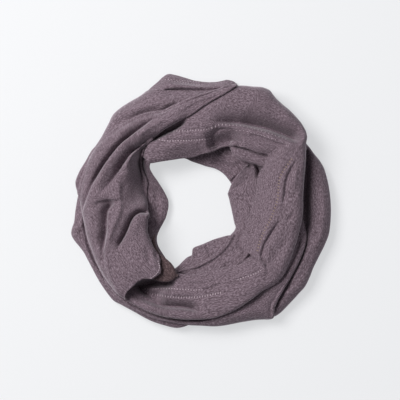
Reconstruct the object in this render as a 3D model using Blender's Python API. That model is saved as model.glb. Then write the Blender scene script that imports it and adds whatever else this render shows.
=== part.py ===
"""A jersey neck warmer lying on a table, wound on itself into a ring with an open neck hole.

The garment is one knitted tube with a turned hem at each end. Wound up, it shows as overlapping stretches of
cloth. Each stretch is a wall of cloth in a node of its own, and the layers hidden inside share one rounded solid.

Shapes are worked out round the middle of the neck hole. A stretch is a short table of cross-sections, each at
an angle in degrees anticlockwise from +X, with radii and heights in millimetres. The stretches are laid from
the lowest up, and each one is lifted where it crosses what is already there. Blender units are metres, +Z up.
"""

from collections import namedtuple

import bmesh
import bpy
import numpy as np

MM = 0.001

HOLE_CENTRE = (-9.25, -10.05)  # the middle of the neck hole, from the origin under the middle of the ring
CLOTH = 1.5  # thickness of one stretch of knit, its turned layer included
CLEAR = 0.35  # gap kept between two layers
STATION = 11.0  # spacing of cross-sections along a stretch
FLOOR = 0.0

CELL = 1.0  # size of a cell of the height maps
REACH = 170.0  # half the side of the height maps
NOTHING = -1.0e3
OPEN_SKY = 1.0e3

# A side wall: it starts hidden at its top, rounds over to its side, and turns in again at its foot.
Side = namedtuple("Side", "angle top_r top_z side_r side_z foot_z")
# A roof: it runs from its inner edge over a crest to its outer edge. The two edges may be at different angles.
Roof = namedtuple("Roof", "in_angle in_r in_z crest_at crest_z out_angle out_r out_z")
# The hidden layers: inner and outer radius of the solid that fills the ring.
Fill = namedtuple("Fill", "angle in_r out_r")

LOWER_TURN = (
    Side(35.5, 107, 20, 124, 8, 0),
    Side(48, 107, 20, 131, 8, 0),
    Side(62, 106, 20, 130, 8, 0),
    Side(76, 104, 19, 125, 8, 0),
    Side(88, 102, 18, 122, 8, 0),
    Side(100, 101, 17, 123, 7, 0),
    Side(112, 100, 17, 121, 7, 0),
    Side(128, 99, 16, 117, 7, 0),
    Side(142, 98, 16, 110, 7, 0),
    Side(156, 98, 17, 111, 8, 0),
    Side(172, 98, 18, 116, 8, 0),
    Side(181, 97, 18, 117.6, 8, 0),
    Side(187, 97, 18, 120.5, 7, 0),
    Side(191.5, 97, 18, 124.2, 6, 0),
    Side(196, 97, 18, 120.6, 7, 0),
    Side(202, 97, 18, 117, 8, 0),
    Side(212, 98, 18, 116.4, 8, 0),
    Side(222, 100, 18, 118.8, 8, 0),
    Side(228, 101, 18, 120.3, 8, 0),
    Side(234, 100, 18, 118.3, 8, 0),
    Side(241, 99, 18, 117.1, 8, 0),
    Side(251, 99, 18, 117.9, 8, 0),
    Side(262, 99, 18, 118.8, 7, 0),
    Side(270, 98, 18, 114, 7, 0),
    Side(284, 97, 18, 112, 8, 0),
    Side(296, 97, 19, 115, 8, 0),
    Side(303, 98, 20, 121, 8, 0),
    Side(310.4, 99, 21, 135.8, 7, 0),
    Side(320, 100, 22, 135.5, 8, 0),
    Side(327, 101, 23, 137.4, 8, 0),
    Side(335, 101, 24, 134.9, 9, 0),
    Side(345, 101, 25, 138, 9, 0),
    Side(353, 101, 25, 140.2, 9, 0),
    Side(370, 102, 25, 140.2, 9, 0),
    Side(380, 104, 24, 139, 9, 0),
    Side(386, 107, 23, 135.5, 9, 0),
    Side(393, 108, 21, 127, 8, 0),
)

SECOND_TURN = (
    Side(210, 90, 19, 103, 16, 13),
    Side(222, 98, 20.5, 112, 19, 16),
    Side(230, 99, 20.5, 113.6, 18, 15),
    Side(242, 99, 20.5, 113, 18, 15),
    Side(262, 98, 20.5, 112.6, 17, 14),
    Side(271, 97, 20.5, 114.2, 12, 3),
    Side(280, 96, 20.5, 116.9, 9, 0),
    Side(290, 95, 21.5, 119.5, 9, 0),
    Side(299, 95, 22.5, 126, 8, 0),
    Side(306.6, 96, 23.5, 134.8, 9, 0),
    Side(310.5, 97, 24.5, 127, 16, 13),
    Side(315, 98, 24.5, 122, 22, 19),
    Side(321, 98, 25.5, 119.3, 25, 22),
    Side(329, 99, 26.5, 117.3, 26, 23),
    Side(343, 99, 27.5, 116.4, 27, 24),
    Side(351, 99, 27.5, 114.8, 27, 24),
    Side(363, 90, 26, 101, 23.5, 20),
)

INNER_LOW = (
    Side(251, 70, 22, 56, 9, 0),
    Side(258.7, 70, 22, 52.6, 9, 0),
    Side(264, 69, 22, 47.3, 8, 0),
    Side(268.6, 69, 22, 45, 8, 0),
    Side(271.4, 69, 22, 38.6, 8, 0),
    Side(278, 69, 22, 36, 8, 0),
    Side(295, 69, 22, 35, 8, 0),
    Side(311, 69, 22, 37, 8, 0),
    Side(324.7, 69, 22, 42.5, 8, 0),
    Side(332, 69, 22, 49, 8, 0),
    Side(345, 69, 22, 51, 8, 0),
    Side(360, 69, 22, 48, 8, 0),
    Side(378, 70, 22, 46, 8, 0),
    Side(391, 73, 23, 47.6, 8, 0),
    Side(402, 75, 24, 48.8, 8, 0),
    Side(413, 77, 25, 49.3, 9, 0),
    Side(423, 77, 26, 48.6, 9, 0),
    Side(434, 75, 26, 47.4, 10, 0),
    Side(444, 71, 26, 48.4, 11, 0),
    Side(451, 69, 26, 50.3, 12, 0),
    Side(458, 69, 26, 54, 13, 0),
    Side(466, 70, 26, 58, 14, 0),
)

INNER_TURN = (
    Side(256, 73, 27, 62.5, 20, 14),
    Side(263, 73, 27, 58.4, 18, 12),
    Side(275, 73, 27, 54.8, 17, 11),
    Side(287, 72, 27, 51.2, 16, 10),
    Side(299, 73, 27, 49.4, 15, 9),
    Side(311, 76, 28, 47.5, 13, 6),
    Side(324, 78, 29, 45.6, 11, 2),
    Side(330, 76, 29, 46, 9, 0),
    Side(338, 71, 29, 47.1, 9, 0),
    Side(344, 70, 29, 44.2, 9, 0),
    Side(351, 70, 29, 41.9, 9, 0),
    Side(360, 71, 29, 40, 9, 0),
    Side(372, 75, 29, 39.1, 9, 0),
    Side(384, 80, 29, 39.6, 9, 0),
    Side(388, 82, 29, 41.6, 10, 0),
    Side(391.5, 84, 29, 48, 14, 8),
    Side(396, 86, 29, 58, 22, 18),
    Side(399.5, 88, 29, 68, 25, 22),
)

HEM_CORNER = (
    Side(127, 75, 29, 66.5, 26, 14),
    Side(133, 72, 29, 62.9, 25, 12),
    Side(136, 70, 28, 57, 23, 9),
    Side(139, 67, 27, 46.2, 19, 5),
    Side(143, 62, 26, 37.2, 13, 0),
    Side(150, 57, 25, 30, 10, 0),
    Side(161, 53, 24, 25.6, 9, 0),
    Side(175, 51, 23, 24.4, 9, 0),
    Side(187, 51, 23, 25.6, 9, 0),
    Side(195, 52, 24, 27.5, 9, 0),
    Side(203, 54, 25, 31.8, 9, 0),
    Side(212, 57, 26, 39.3, 9, 0),
    Side(218, 60, 27, 44.9, 9, 0),
    Side(228, 63, 27, 50.6, 10, 0),
    Side(238, 65, 27, 54.5, 12, 0),
    Side(244, 66, 26, 57, 12, 0),
)

BACK_HEM = (
    Roof(67, 107, 21, 0.3, 22, 67, 129, 7),
    Roof(70, 107, 21, 0.3, 22, 70, 134.4, 6),
    Roof(73, 106, 21, 0.3, 22, 73, 136.8, 5),
    Roof(77, 106, 21, 0.3, 22, 77, 134, 5),
    Roof(81, 106, 21, 0.3, 22, 81, 131, 6),
    Roof(86, 106, 21, 0.3, 22, 86, 130.7, 6),
    Roof(94, 106, 21, 0.3, 22, 94, 135.5, 5),
    Roof(100, 108, 21, 0.3, 22, 100, 139.3, 4),
    Roof(104, 108, 21, 0.3, 22, 104, 135.7, 4),
    Roof(109, 107, 20, 0.3, 21, 109, 129.5, 5),
    Roof(115, 106, 20, 0.3, 20, 115, 122, 7),
)

MIDDLE_TURN = (
    Roof(68, 114, 30, 0.2, 30, 68, 125, 26),
    Roof(76, 106, 31, 0.3, 31, 76, 125, 26),
    Roof(84, 101, 31, 0.4, 32, 84, 121.2, 26),
    Roof(94, 97, 31, 0.4, 33, 94, 122, 25),
    Roof(103, 93, 31, 0.4, 34, 103, 124.8, 23),
    Roof(108, 92, 31, 0.4, 34, 108, 127.6, 17),
    Roof(112, 92, 31, 0.4, 34, 112, 128.6, 11),
    Roof(120, 94, 31, 0.4, 33, 120, 126.5, 8),
    Roof(128, 97, 30, 0.4, 31, 128, 125, 7),
    Roof(133.5, 98, 29, 0.4, 30, 133.5, 120.4, 7),
    Roof(140, 99, 27, 0.4, 28, 140, 117, 7),
    Roof(145.5, 100, 26, 0.4, 26, 145.5, 115.6, 7),
    Roof(150, 101, 25, 0.4, 25, 150, 118.4, 7),
    Roof(160, 100, 23, 0.4, 23, 160, 120.4, 7),
    Roof(165.5, 99, 22, 0.4, 22, 165.5, 121.6, 7),
    Roof(169, 99, 22, 0.4, 22, 169, 119, 8),
    Roof(174, 99, 21, 0.4, 21, 174, 113.5, 12),
)

FRONT_HEM = (
    Roof(222, 72, 30, 0.5, 31, 222, 105, 19),
    Roof(232, 68, 30, 0.5, 32, 232, 107.6, 19),
    Roof(240, 66, 31, 0.55, 35, 240, 108.8, 19),
    Roof(250, 65, 31, 0.6, 39, 250, 109.5, 19),
    Roof(262, 64, 32, 0.6, 41, 262, 109.8, 19),
    Roof(276, 62.7, 32, 0.6, 42, 276, 108.8, 19),
    Roof(289, 62, 32, 0.6, 43, 289, 108.3, 19),
    Roof(300, 65.2, 32, 0.6, 43, 300, 106.6, 22),
    Roof(310, 70, 32, 0.55, 43, 310, 107.3, 22),
    Roof(317, 76, 32, 0.55, 43, 317, 109.8, 22),
    Roof(322.8, 77.6, 33, 0.5, 43, 323, 110.5, 22),
    Roof(324.2, 66, 34, 0.5, 44, 327, 110.3, 22),
    Roof(331, 58.6, 34, 0.55, 46, 333, 110, 22),
    Roof(345, 57, 34, 0.55, 47, 345, 110, 22),
    Roof(360, 59.3, 34, 0.55, 48, 360, 110.4, 22),
    Roof(370, 63, 35, 0.55, 48, 370, 112.5, 22),
    Roof(381, 69.5, 36, 0.55, 48, 380, 119.5, 22),
    Roof(387, 76, 37, 0.55, 48, 387, 127.4, 20),
    Roof(392, 84, 38, 0.5, 47, 391.5, 134.5, 20),
    Roof(396.4, 94, 39, 0.4, 47, 396.4, 139, 20),
    Roof(403, 86.8, 39, 0.5, 47, 402, 140.2, 18),
    Roof(412, 80.5, 38, 0.5, 46, 410, 139.4, 14),
    Roof(418, 77.5, 38, 0.5, 46, 417.5, 143.3, 11),
    Roof(424, 71.6, 37, 0.5, 46, 424, 138.4, 14),
    Roof(430, 64.5, 37, 0.5, 45, 430, 132.5, 15),
    Roof(437, 59, 37, 0.5, 44, 436, 122.5, 24),
    Roof(445, 55.5, 37, 0.5, 43, 443, 110, 31),
    Roof(457, 53.4, 37, 0.45, 42, 455, 100, 35),
    Roof(468, 54.1, 37, 0.4, 42, 466, 94, 34),
    Roof(477, 56.2, 37, 0.4, 41, 475, 90, 34),
    Roof(485, 59.5, 36, 0.4, 39, 484, 85, 33),
    Roof(491, 62.6, 34, 0.4, 36, 491, 78, 32),
    Roof(494, 66, 33, 0.4, 33, 495, 73, 31),
)

CORNER_TUCK = (
    Roof(418.2, 75.5, 33, 0.4, 34, 417.5, 84, 33),
    Roof(415, 70.2, 33, 0.4, 35, 415, 88, 34),
    Roof(408, 69.3, 33, 0.4, 35, 408, 90, 34),
    Roof(402, 73.2, 33, 0.4, 35, 402, 95, 34),
    Roof(396, 79, 33, 0.4, 35, 396, 100, 34),
    Roof(391, 83.5, 33, 0.4, 35, 390, 96, 34),
)

TIP_FOLD = (
    Roof(212, 41.5, 23, 0.5, 25, 222, 64, 25),
    Roof(218, 45, 24, 0.5, 27, 229, 69, 27),
    Roof(226, 48.9, 25, 0.5, 29, 235, 74, 29),
    Roof(234.5, 51.7, 27, 0.5, 31, 240.5, 77.6, 30),
    Roof(243, 54, 29, 0.5, 32, 245.5, 77.2, 31),
    Roof(250.5, 56.2, 30, 0.5, 33, 250, 76, 32),
    Roof(255, 58.9, 30, 0.5, 33, 254.5, 73.6, 32),
    Roof(257.6, 63.4, 30, 0.5, 32, 257.6, 67, 31),
)

LEFT_SWEEP = (
    Roof(70.5, 130.5, 16, 0.5, 17, 70, 134, 14),
    Roof(73.5, 121.5, 25, 0.5, 27, 73.5, 128.5, 18),
    Roof(79.5, 111.2, 34, 0.5, 37, 79.5, 122.5, 24),
    Roof(85, 102, 38, 0.4, 42, 86, 116.8, 28),
    Roof(90, 95.4, 39, 0.4, 45, 92, 113, 30),
    Roof(97, 90.3, 39, 0.35, 48, 99, 108.5, 30),
    Roof(106, 86, 38, 0.35, 48, 108, 105, 30),
    Roof(115, 82.6, 38, 0.3, 48, 117, 107, 29),
    Roof(122, 79.5, 37, 0.3, 48, 125, 108.5, 28),
    Roof(128, 76.8, 37, 0.3, 48, 132, 111, 26),
    Roof(133, 72.8, 36, 0.35, 48, 138, 111.6, 24),
    Roof(138, 67.6, 34, 0.4, 47, 144, 113.6, 22),
    Roof(142, 60.5, 32, 0.45, 47, 150, 115, 21),
    Roof(151, 50.5, 30, 0.5, 46, 157, 113, 16),
    Roof(164, 46, 29, 0.5, 45, 166, 112.4, 16),
    Roof(174, 44.3, 29, 0.5, 45, 175, 111.2, 16),
    Roof(183, 42.3, 30, 0.5, 46, 182, 109.8, 16),
    Roof(196, 45.5, 31, 0.5, 46, 192, 108.2, 16),
    Roof(206, 48.5, 33, 0.5, 47, 204, 108.9, 16),
    Roof(214, 50, 36, 0.5, 48, 214, 109.8, 16),
    Roof(222.5, 53.4, 38, 0.5, 48, 222, 111, 16),
    Roof(229, 54.6, 39, 0.5, 47, 228, 112.4, 16),
    Roof(236, 57.4, 40, 0.5, 46, 231.8, 108, 29),
    Roof(240.5, 61.4, 41, 0.5, 45, 231.6, 99, 36),
    Roof(242.6, 66.5, 42, 0.5, 44, 232.6, 89, 41),
    Roof(242.8, 71, 42, 0.5, 43, 236, 82, 42),
)

HIDDEN_LAYERS = (
    Fill(0, 55, 131),
    Fill(22, 55, 128),
    Fill(34, 57, 119),
    Fill(47, 58, 126),
    Fill(62, 58, 124),
    Fill(85, 59, 114),
    Fill(108, 69, 115),
    Fill(126, 76, 112),
    Fill(140, 57, 104),
    Fill(155, 36, 104),
    Fill(178, 31, 106),
    Fill(200, 37, 107),
    Fill(220, 54, 108),
    Fill(243, 67, 106),
    Fill(268, 58, 103),
    Fill(290, 50, 102),
    Fill(312, 51, 119),
    Fill(332, 58, 126),
    Fill(348, 60, 130),
)

# Colour of each stretch, linear, and the finish they share.
KNIT_COLOUR = (0.158, 0.122, 0.145, 1.0)
HIDDEN_COLOUR = (0.090, 0.068, 0.082, 1.0)
KNIT_ROUGHNESS = 0.92


def polar(angle, radius):
    """World X and Y in millimetres of a point given by angle and radius round the middle of the neck hole."""
    turn = np.radians(angle)
    return HOLE_CENTRE[0] + radius * np.cos(turn), HOLE_CENTRE[1] + radius * np.sin(turn)


def smooth_columns(knots, columns, at):
    """Cubic curves through every column of a table, with slopes limited so that none overshoots its rows."""
    step = np.diff(knots)[:, None]
    rise = np.diff(columns, axis=0) / step
    slope = np.zeros_like(columns)
    slope[0], slope[-1] = rise[0], rise[-1]
    before, after = rise[:-1], rise[1:]
    same_way = before * after > 0
    total = np.where(same_way, before + after, 1.0)
    slope[1:-1] = np.where(same_way, 2 * before * after / total, 0.0)
    span = np.clip(np.searchsorted(knots, at, side="right") - 1, 0, len(knots) - 2)
    width = step[span]
    t = ((at - knots[span])[:, None]) / width
    start = (1 + 2 * t) * (1 - t) ** 2 * columns[span] + t * (1 - t) ** 2 * width * slope[span]
    end = t * t * (3 - 2 * t) * columns[span + 1] + t * t * (t - 1) * width * slope[span + 1]
    return start + end


def stations(rows, middle):
    """Every row's values at even steps of STATION along a stretch. middle gives a row's angle and radius there."""
    x, y = polar(*np.array([middle(row) for row in rows], float).T)
    knots = np.concatenate([[0.0], np.cumsum(np.hypot(np.diff(x), np.diff(y)))])
    count = max(3, int(round(knots[-1] / STATION)) + 1)
    return smooth_columns(knots, np.array(rows, float), np.linspace(0, knots[-1], count))


def quarter_round(start, end, shares, bulge=2.0):
    """From start, level, round to end, upright, as shares of the way across: a superellipse's quarter."""
    across = start[0][:, None] + (end[0] - start[0])[:, None] * shares
    fall = (1 - shares**bulge) ** (1 / bulge)
    height = end[1][:, None] + (start[1] - end[1])[:, None] * fall
    return across, height


def side_surface(rows, towards_hole):
    """Grid of points of a side wall, along the stretch by across it: top, rounded shoulder, side and foot."""
    angle, top_r, top_z, side_r, side_z, foot_z = stations(rows, lambda row: (row.angle, row.side_r)).T
    over = np.sin(np.radians([0, 22, 42, 60, 76, 90]))
    shoulder_r, shoulder_z = quarter_round((top_r, top_z), (side_r, side_z), over)
    under = np.array([0.5, 1.0])
    turn_in = 3.0 if towards_hole else -3.0
    foot_r = side_r[:, None] + turn_in * under**2
    lower_z = side_z[:, None] + (foot_z - side_z)[:, None] * under
    radius = np.hstack([shoulder_r, foot_r])
    height = np.hstack([shoulder_z, lower_z])
    x, y = polar(angle[:, None], radius)
    return np.stack([x, y, height], axis=-1)


def roof_surface(rows, across=10):
    """Grid of points of a roof, along the stretch by across it: a rounded rise to the crest and a rounded fall."""
    table = stations(rows, lambda row: ((row.in_angle + row.out_angle) / 2, (row.in_r + row.out_r) / 2)).T
    in_angle, in_r, in_z, crest_at, crest_z, out_angle, out_r, out_z = (column[:, None] for column in table)
    share = (1 - np.cos(np.pi * np.linspace(0, 1, across))) / 2
    inside = np.clip(1 - share / crest_at, 0, 1)
    outside = np.clip((share - crest_at) / (1 - crest_at), 0, 1)
    rise = in_z + (crest_z - in_z) * (1 - inside**1.7) ** (1 / 1.7)
    fall = out_z + (crest_z - out_z) * (1 - outside**2.0) ** (1 / 2.0)
    height = np.where(share < crest_at, rise, fall)
    (x0, y0), (x1, y1) = polar(in_angle, in_r), polar(out_angle, out_r)
    return np.stack([x0 + (x1 - x0) * share, y0 + (y1 - y0) * share, height], axis=-1)


def surface_normals(grid):
    """Unit normals of a grid of points, on the side that faces up over most of it."""
    along, across = np.gradient(grid, axis=0), np.gradient(grid, axis=1)
    normal = np.cross(along, across)
    normal /= np.maximum(np.linalg.norm(normal, axis=-1, keepdims=True), 1e-9)
    return normal * np.sign(normal[..., 2].sum())


def refined(grid, steps=8):
    """The grid with each face split evenly, by straight lines, so that every cell below it gets a sample."""
    for axis in (0, 1):
        old = np.arange(grid.shape[axis])
        at = np.linspace(0, old[-1], old[-1] * steps + 1)
        low = np.minimum(at.astype(int), old[-1] - 1)
        part = np.expand_dims(at - low, tuple(i for i in range(3) if i != axis))
        grid = np.take(grid, low, axis) * (1 - part) + np.take(grid, low + 1, axis) * part
    return grid


class HeightMap:
    """Heights over the table in square cells: the top of what is laid so far, or the lowest underside."""

    def __init__(self, empty, keep):
        side = int(2 * REACH / CELL) + 1
        self.cells = np.full((side, side), empty)
        self.keep = keep

    @staticmethod
    def index(points):
        return tuple(np.rint((points[..., k] + REACH) / CELL).astype(int) for k in (0, 1))

    def add(self, grid):
        points = refined(grid)
        self.keep.at(self.cells, self.index(points), points[..., 2])

    def near(self, points, within):
        """The kept height among the cells within so many millimetres of each point."""
        column, row = self.index(points)
        found = self.cells[column, row]
        span = int(round(within / CELL))
        for across in range(-span, span + 1):
            for up in range(-span, span + 1):
                if across * across + up * up <= span * span + 1:
                    found = self.keep(found, self.cells[column + across, row + up])
        return found


def lay(grid, top, underside):
    """The stretch lifted clear of what lies below it, then added to both maps."""
    support = top.near(grid, within=5.0) + CLOTH + CLEAR
    grid = grid.copy()
    grid[..., 2] = np.maximum(grid[..., 2], support)
    inner_face = grid - surface_normals(grid) * CLOTH
    top.add(grid)
    underside.add(grid)
    underside.add(inner_face)
    return grid


def material(name, colour):
    made = bpy.data.materials.new(name)
    made.use_nodes = True
    shader = made.node_tree.nodes["Principled BSDF"]
    shader.inputs["Base Color"].default_value = colour
    shader.inputs["Roughness"].default_value = KNIT_ROUGHNESS
    shader.inputs["Metallic"].default_value = 0.0
    return made


def place(name, mesh, colour, parent):
    mesh.materials.append(material(name, colour))
    made = bpy.data.objects.new(name, mesh)
    made.parent = parent
    bpy.context.scene.collection.objects.link(made)
    return made


def cloth_wall(name, grid, parent):
    """A stretch of cloth: the grid as one sheet, given its thickness on the side that faces the heap."""
    rows, columns = grid.shape[:2]
    shape = bmesh.new()
    points = [[shape.verts.new(point * MM) for point in line] for line in grid]
    for i in range(rows - 1):
        for j in range(columns - 1):
            shape.faces.new((points[i][j], points[i + 1][j], points[i + 1][j + 1], points[i][j + 1]))
    facing_up = sum(face.normal.z for face in shape.faces if not face.normal_update())
    if facing_up < 0:
        bmesh.ops.reverse_faces(shape, faces=shape.faces)
    mesh = bpy.data.meshes.new(name)
    shape.to_mesh(mesh)
    shape.free()
    mesh.shade_smooth()
    made = place(name, mesh, KNIT_COLOUR, parent)
    wall = made.modifiers.new("Cloth", "SOLIDIFY")
    wall.thickness = CLOTH * MM
    wall.offset = -1.0
    return made


def hidden_layers(name, underside, parent, around=80, across=14):
    """The layers that nobody sees, as one rounded ring that fills the heap and lies flat on the table."""
    closed = HIDDEN_LAYERS + tuple(row._replace(angle=row.angle + 360) for row in HIDDEN_LAYERS[:1])
    table = np.array(closed, float)
    angle, in_r, out_r = smooth_columns(table[:, 0], table, np.linspace(0, 360, around + 1)[:-1]).T
    even = np.linspace(0, 1, across)
    share = even - np.sin(2 * np.pi * even) / 14
    x, y = polar(angle[:, None], in_r[:, None] + (out_r - in_r)[:, None] * share)
    grid = np.stack([x, y, np.zeros_like(x)], axis=-1)
    room = underside.near(grid, within=9.0) - CLEAR
    lowest_edge = 3.0
    grid[..., 2] = np.maximum(room, lowest_edge)
    shape = bmesh.new()
    loops = []
    for j in range(across):
        loops.append([shape.verts.new(point * MM) for point in grid[:, j]])
    for j in (across - 1, 0):
        foot = grid[:, j] * (1, 1, 0)
        loops.append([shape.verts.new(point * MM) for point in foot])
    for near, far in zip(loops, loops[1:] + loops[:1]):
        for i in range(around):
            k = (i + 1) % around
            shape.faces.new((near[i], near[k], far[k], far[i]))
    bmesh.ops.recalc_face_normals(shape, faces=shape.faces)
    mesh = bpy.data.meshes.new(name)
    shape.to_mesh(mesh)
    shape.free()
    return place(name, mesh, HIDDEN_COLOUR, parent)


def build():
    for old in list(bpy.data.objects):
        bpy.data.objects.remove(old)
    garment = bpy.data.objects.new("neck_warmer", None)
    bpy.context.scene.collection.objects.link(garment)

    top = HeightMap(NOTHING, np.maximum)
    underside = HeightMap(OPEN_SKY, np.minimum)
    stretches = (
        ("lower_turn", side_surface(LOWER_TURN, towards_hole=False)),
        ("inner_low_turn", side_surface(INNER_LOW, towards_hole=True)),
        ("second_turn", side_surface(SECOND_TURN, towards_hole=False)),
        ("inner_turn", side_surface(INNER_TURN, towards_hole=True)),
        ("hem_corner", side_surface(HEM_CORNER, towards_hole=True)),
        ("back_hem", roof_surface(BACK_HEM, across=7)),
        ("middle_turn", roof_surface(MIDDLE_TURN, across=8)),
        ("corner_tuck", roof_surface(CORNER_TUCK, across=5)),
        ("front_hem_panel", roof_surface(FRONT_HEM, across=11)),
        ("tip_fold", roof_surface(TIP_FOLD, across=6)),
        ("left_sweep", roof_surface(LEFT_SWEEP, across=12)),
    )
    for name, grid in stretches:
        cloth_wall(name, lay(grid, top, underside), garment)
    hidden_layers("hidden_layers", underside, garment)


build()
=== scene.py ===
"""The looks of a wool jersey neck warmer, wound on itself and laid on a table as an open ring.

The garment is one loop of fine heathered jersey with a stitched hem along each edge. Wound to two turns, it shows
as overlapping stretches of cloth. Each stretch is a surface worked out from tables of its two edges and its crest,
creased by listed folds, and laid on what is already there. Tables are in millimetres and degrees, polar
round the middle of the neck hole, anticlockwise from +X. Blender units are metres, +Z up.
"""

import logging
from dataclasses import dataclass, field
from enum import Enum
from typing import NamedTuple, Optional, Sequence, Union

import bpy
import numpy as np
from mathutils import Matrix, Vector
from numpy.typing import NDArray


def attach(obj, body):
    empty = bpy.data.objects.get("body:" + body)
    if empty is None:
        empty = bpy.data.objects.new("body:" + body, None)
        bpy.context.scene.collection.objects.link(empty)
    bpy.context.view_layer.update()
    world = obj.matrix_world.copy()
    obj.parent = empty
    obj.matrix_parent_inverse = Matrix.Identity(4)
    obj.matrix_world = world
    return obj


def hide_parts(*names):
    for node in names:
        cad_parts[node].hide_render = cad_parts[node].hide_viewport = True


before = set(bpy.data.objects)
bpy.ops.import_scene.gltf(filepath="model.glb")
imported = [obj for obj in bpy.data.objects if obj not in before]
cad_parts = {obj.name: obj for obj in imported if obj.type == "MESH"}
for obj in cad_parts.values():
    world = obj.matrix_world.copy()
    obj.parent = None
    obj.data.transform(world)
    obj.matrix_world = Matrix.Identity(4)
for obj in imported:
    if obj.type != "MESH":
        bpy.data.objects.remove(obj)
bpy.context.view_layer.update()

log = logging.getLogger("neck_warmer")
logging.basicConfig(level=logging.INFO, format="%(name)s: %(message)s")

Array = NDArray[np.float64]
Point = tuple[float, float]
Cut = tuple[float, float]
Colour = tuple[float, float, float, float]
Socket = bpy.types.NodeSocket
Tree = bpy.types.NodeTree

MM = 0.001
HOLE_CENTRE = (-9.25, -10.05)
LATTICE = 97  # nodes a side of the random relief, before it repeats
BELL_REACH = 3.0  # widths from a crease's path beyond which it adds nothing
STEEPEST = 85.0  # degrees, the most that an edge is taken to fall before it rolls


# ------------ tables


class EdgeAt(NamedTuple):
    """One point of a stretch's edge: place along the ring, radius, height, and how far its angle leans ahead."""

    at: float
    radius: float
    height: float
    lean: float = 0.0


class CrestAt(NamedTuple):
    """The top of a stretch's cross-section: its share of the way from inner to outer edge, and its height."""

    at: float
    share: float
    height: float


class EdgeKind(Enum):
    """How the cloth ends at an edge of a stretch."""

    FOLD = "turned under in a soft round fold"
    HEM = "a flat hem, turned tight on itself"
    HIDDEN = "carries on out of sight under its neighbour"


class ThreadKind(Enum):
    """How a row of hem stitching looks from the face side."""

    DOTS = "single stitches that lie along the row"
    UPRIGHT = "stitches that stand across the row, like the rungs of a ladder"


class Crease(NamedTuple):
    """A trough or a ridge pressed into the cloth along a path of (angle, radius) points.

    lift is its height in millimetres, below zero for a trough. left and right are its widths on either hand of
    the path, and fade is the share of its length over which each end dies away.
    """

    path: tuple[Point, ...]
    lift: float
    left: float
    right: float
    fade_in: float = 0.15
    fade_out: float = 0.25
    power: float = 2.0


# ------------ shapes as arrays


def polar_xy(angle: Array, radius: Array) -> tuple[Array, Array]:
    """X and Y in millimetres of points given round the neck hole.

    Args:
        angle: degrees anticlockwise from +X.
        radius: millimetres from the middle of the hole.

    Returns:
        The two coordinates, of the shape of the inputs.
    """
    turn = np.radians(angle)
    return HOLE_CENTRE[0] + radius * np.cos(turn), HOLE_CENTRE[1] + radius * np.sin(turn)


def curve_through(knots: Array, columns: Array, at: Array) -> Array:
    """Columns of a table read between its rows, on cubics whose slopes never overshoot a row.

    A row's slope is the harmonic mean of the slopes on its two sides, or zero at a peak; between rows each
    column follows the Hermite cubic of its two values and two slopes.

    Args:
        knots: rising place of each row.
        columns: the rows, one column per quantity.
        at: where to read them.

    Returns:
        One row of values for each entry of at.
    """
    step = np.diff(knots)[:, None]
    rise = np.diff(columns, axis=0) / step
    slope = np.zeros_like(columns)
    slope[0], slope[-1] = rise[0], rise[-1]
    before, after = rise[:-1], rise[1:]
    total = np.where(before * after > 0, before + after, 1.0)
    slope[1:-1] = np.where(before * after > 0, 2 * before * after / total, 0.0)
    span = np.clip(np.searchsorted(knots, at, side="right") - 1, 0, len(knots) - 2)
    width = step[span]
    t = (at - knots[span])[:, None] / width
    start = (1 + 2 * t) * (1 - t) ** 2 * columns[span] + t * (1 - t) ** 2 * width * slope[span]
    end = t * t * (3 - 2 * t) * columns[span + 1] + t * t * (t - 1) * width * slope[span + 1]
    return start + end


def read_table(rows: Sequence[tuple], at: Array) -> Array:
    """Values of a table's rows at the given places, its first column being the place.

    Args:
        rows: tuples whose first entry is the place along the ring.
        at: where to read them; beyond the ends the end row holds.

    Returns:
        The other columns, one row for each entry of at.
    """
    table = np.array([tuple(row) for row in rows], float)
    held = np.clip(at, table[0, 0], table[-1, 0])
    return curve_through(table[:, 0], table[:, 1:], held)


def smooth_path(points: Sequence[Point], spacing: float = 2.0) -> Array:
    """A smooth plan path through some points: X and Y each follow Hermite cubics of the path's length.

    Args:
        points: angle in degrees and radius in millimetres of each point.
        spacing: millimetres between the path's own points.

    Returns:
        X and Y at even steps, one row each.
    """
    x, y = polar_xy(*np.array(points, float).T)
    length = np.concatenate([[0.0], np.cumsum(np.hypot(np.diff(x), np.diff(y)))])
    count = max(4, int(length[-1] / spacing) + 1)
    return curve_through(length, np.stack([x, y], axis=1), np.linspace(0, length[-1], count))


def soft_step(value: Array) -> Array:
    """A rise from 0 to 1, level at both ends: three times the value's square less twice its cube.

    Args:
        value: any numbers; below 0 they count as 0, above 1 as 1.

    Returns:
        The risen values.
    """
    held = np.clip(value, 0, 1)
    return held * held * (3 - 2 * held)


def lattice_noise(x: Array, y: Array, seed: int) -> Array:
    """Smooth random relief, from random heights on a unit lattice blended by soft steps.

    Args:
        x: first coordinate, in lattice steps.
        y: second coordinate, in lattice steps.
        seed: which lattice to use.

    Returns:
        Relief between -1 and 1, of the shape of x.
    """
    heights = np.random.default_rng(seed).uniform(-1, 1, (LATTICE, LATTICE))
    column, row = np.floor(x).astype(int), np.floor(y).astype(int)
    s, t = soft_step(x - column), soft_step(y - row)
    i, j, i_next, j_next = (number % LATTICE for number in (column, row, column + 1, row + 1))
    near = heights[i, j] * (1 - s) + heights[i_next, j] * s
    far = heights[i, j_next] * (1 - s) + heights[i_next, j_next] * s
    return near * (1 - t) + far * t


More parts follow.
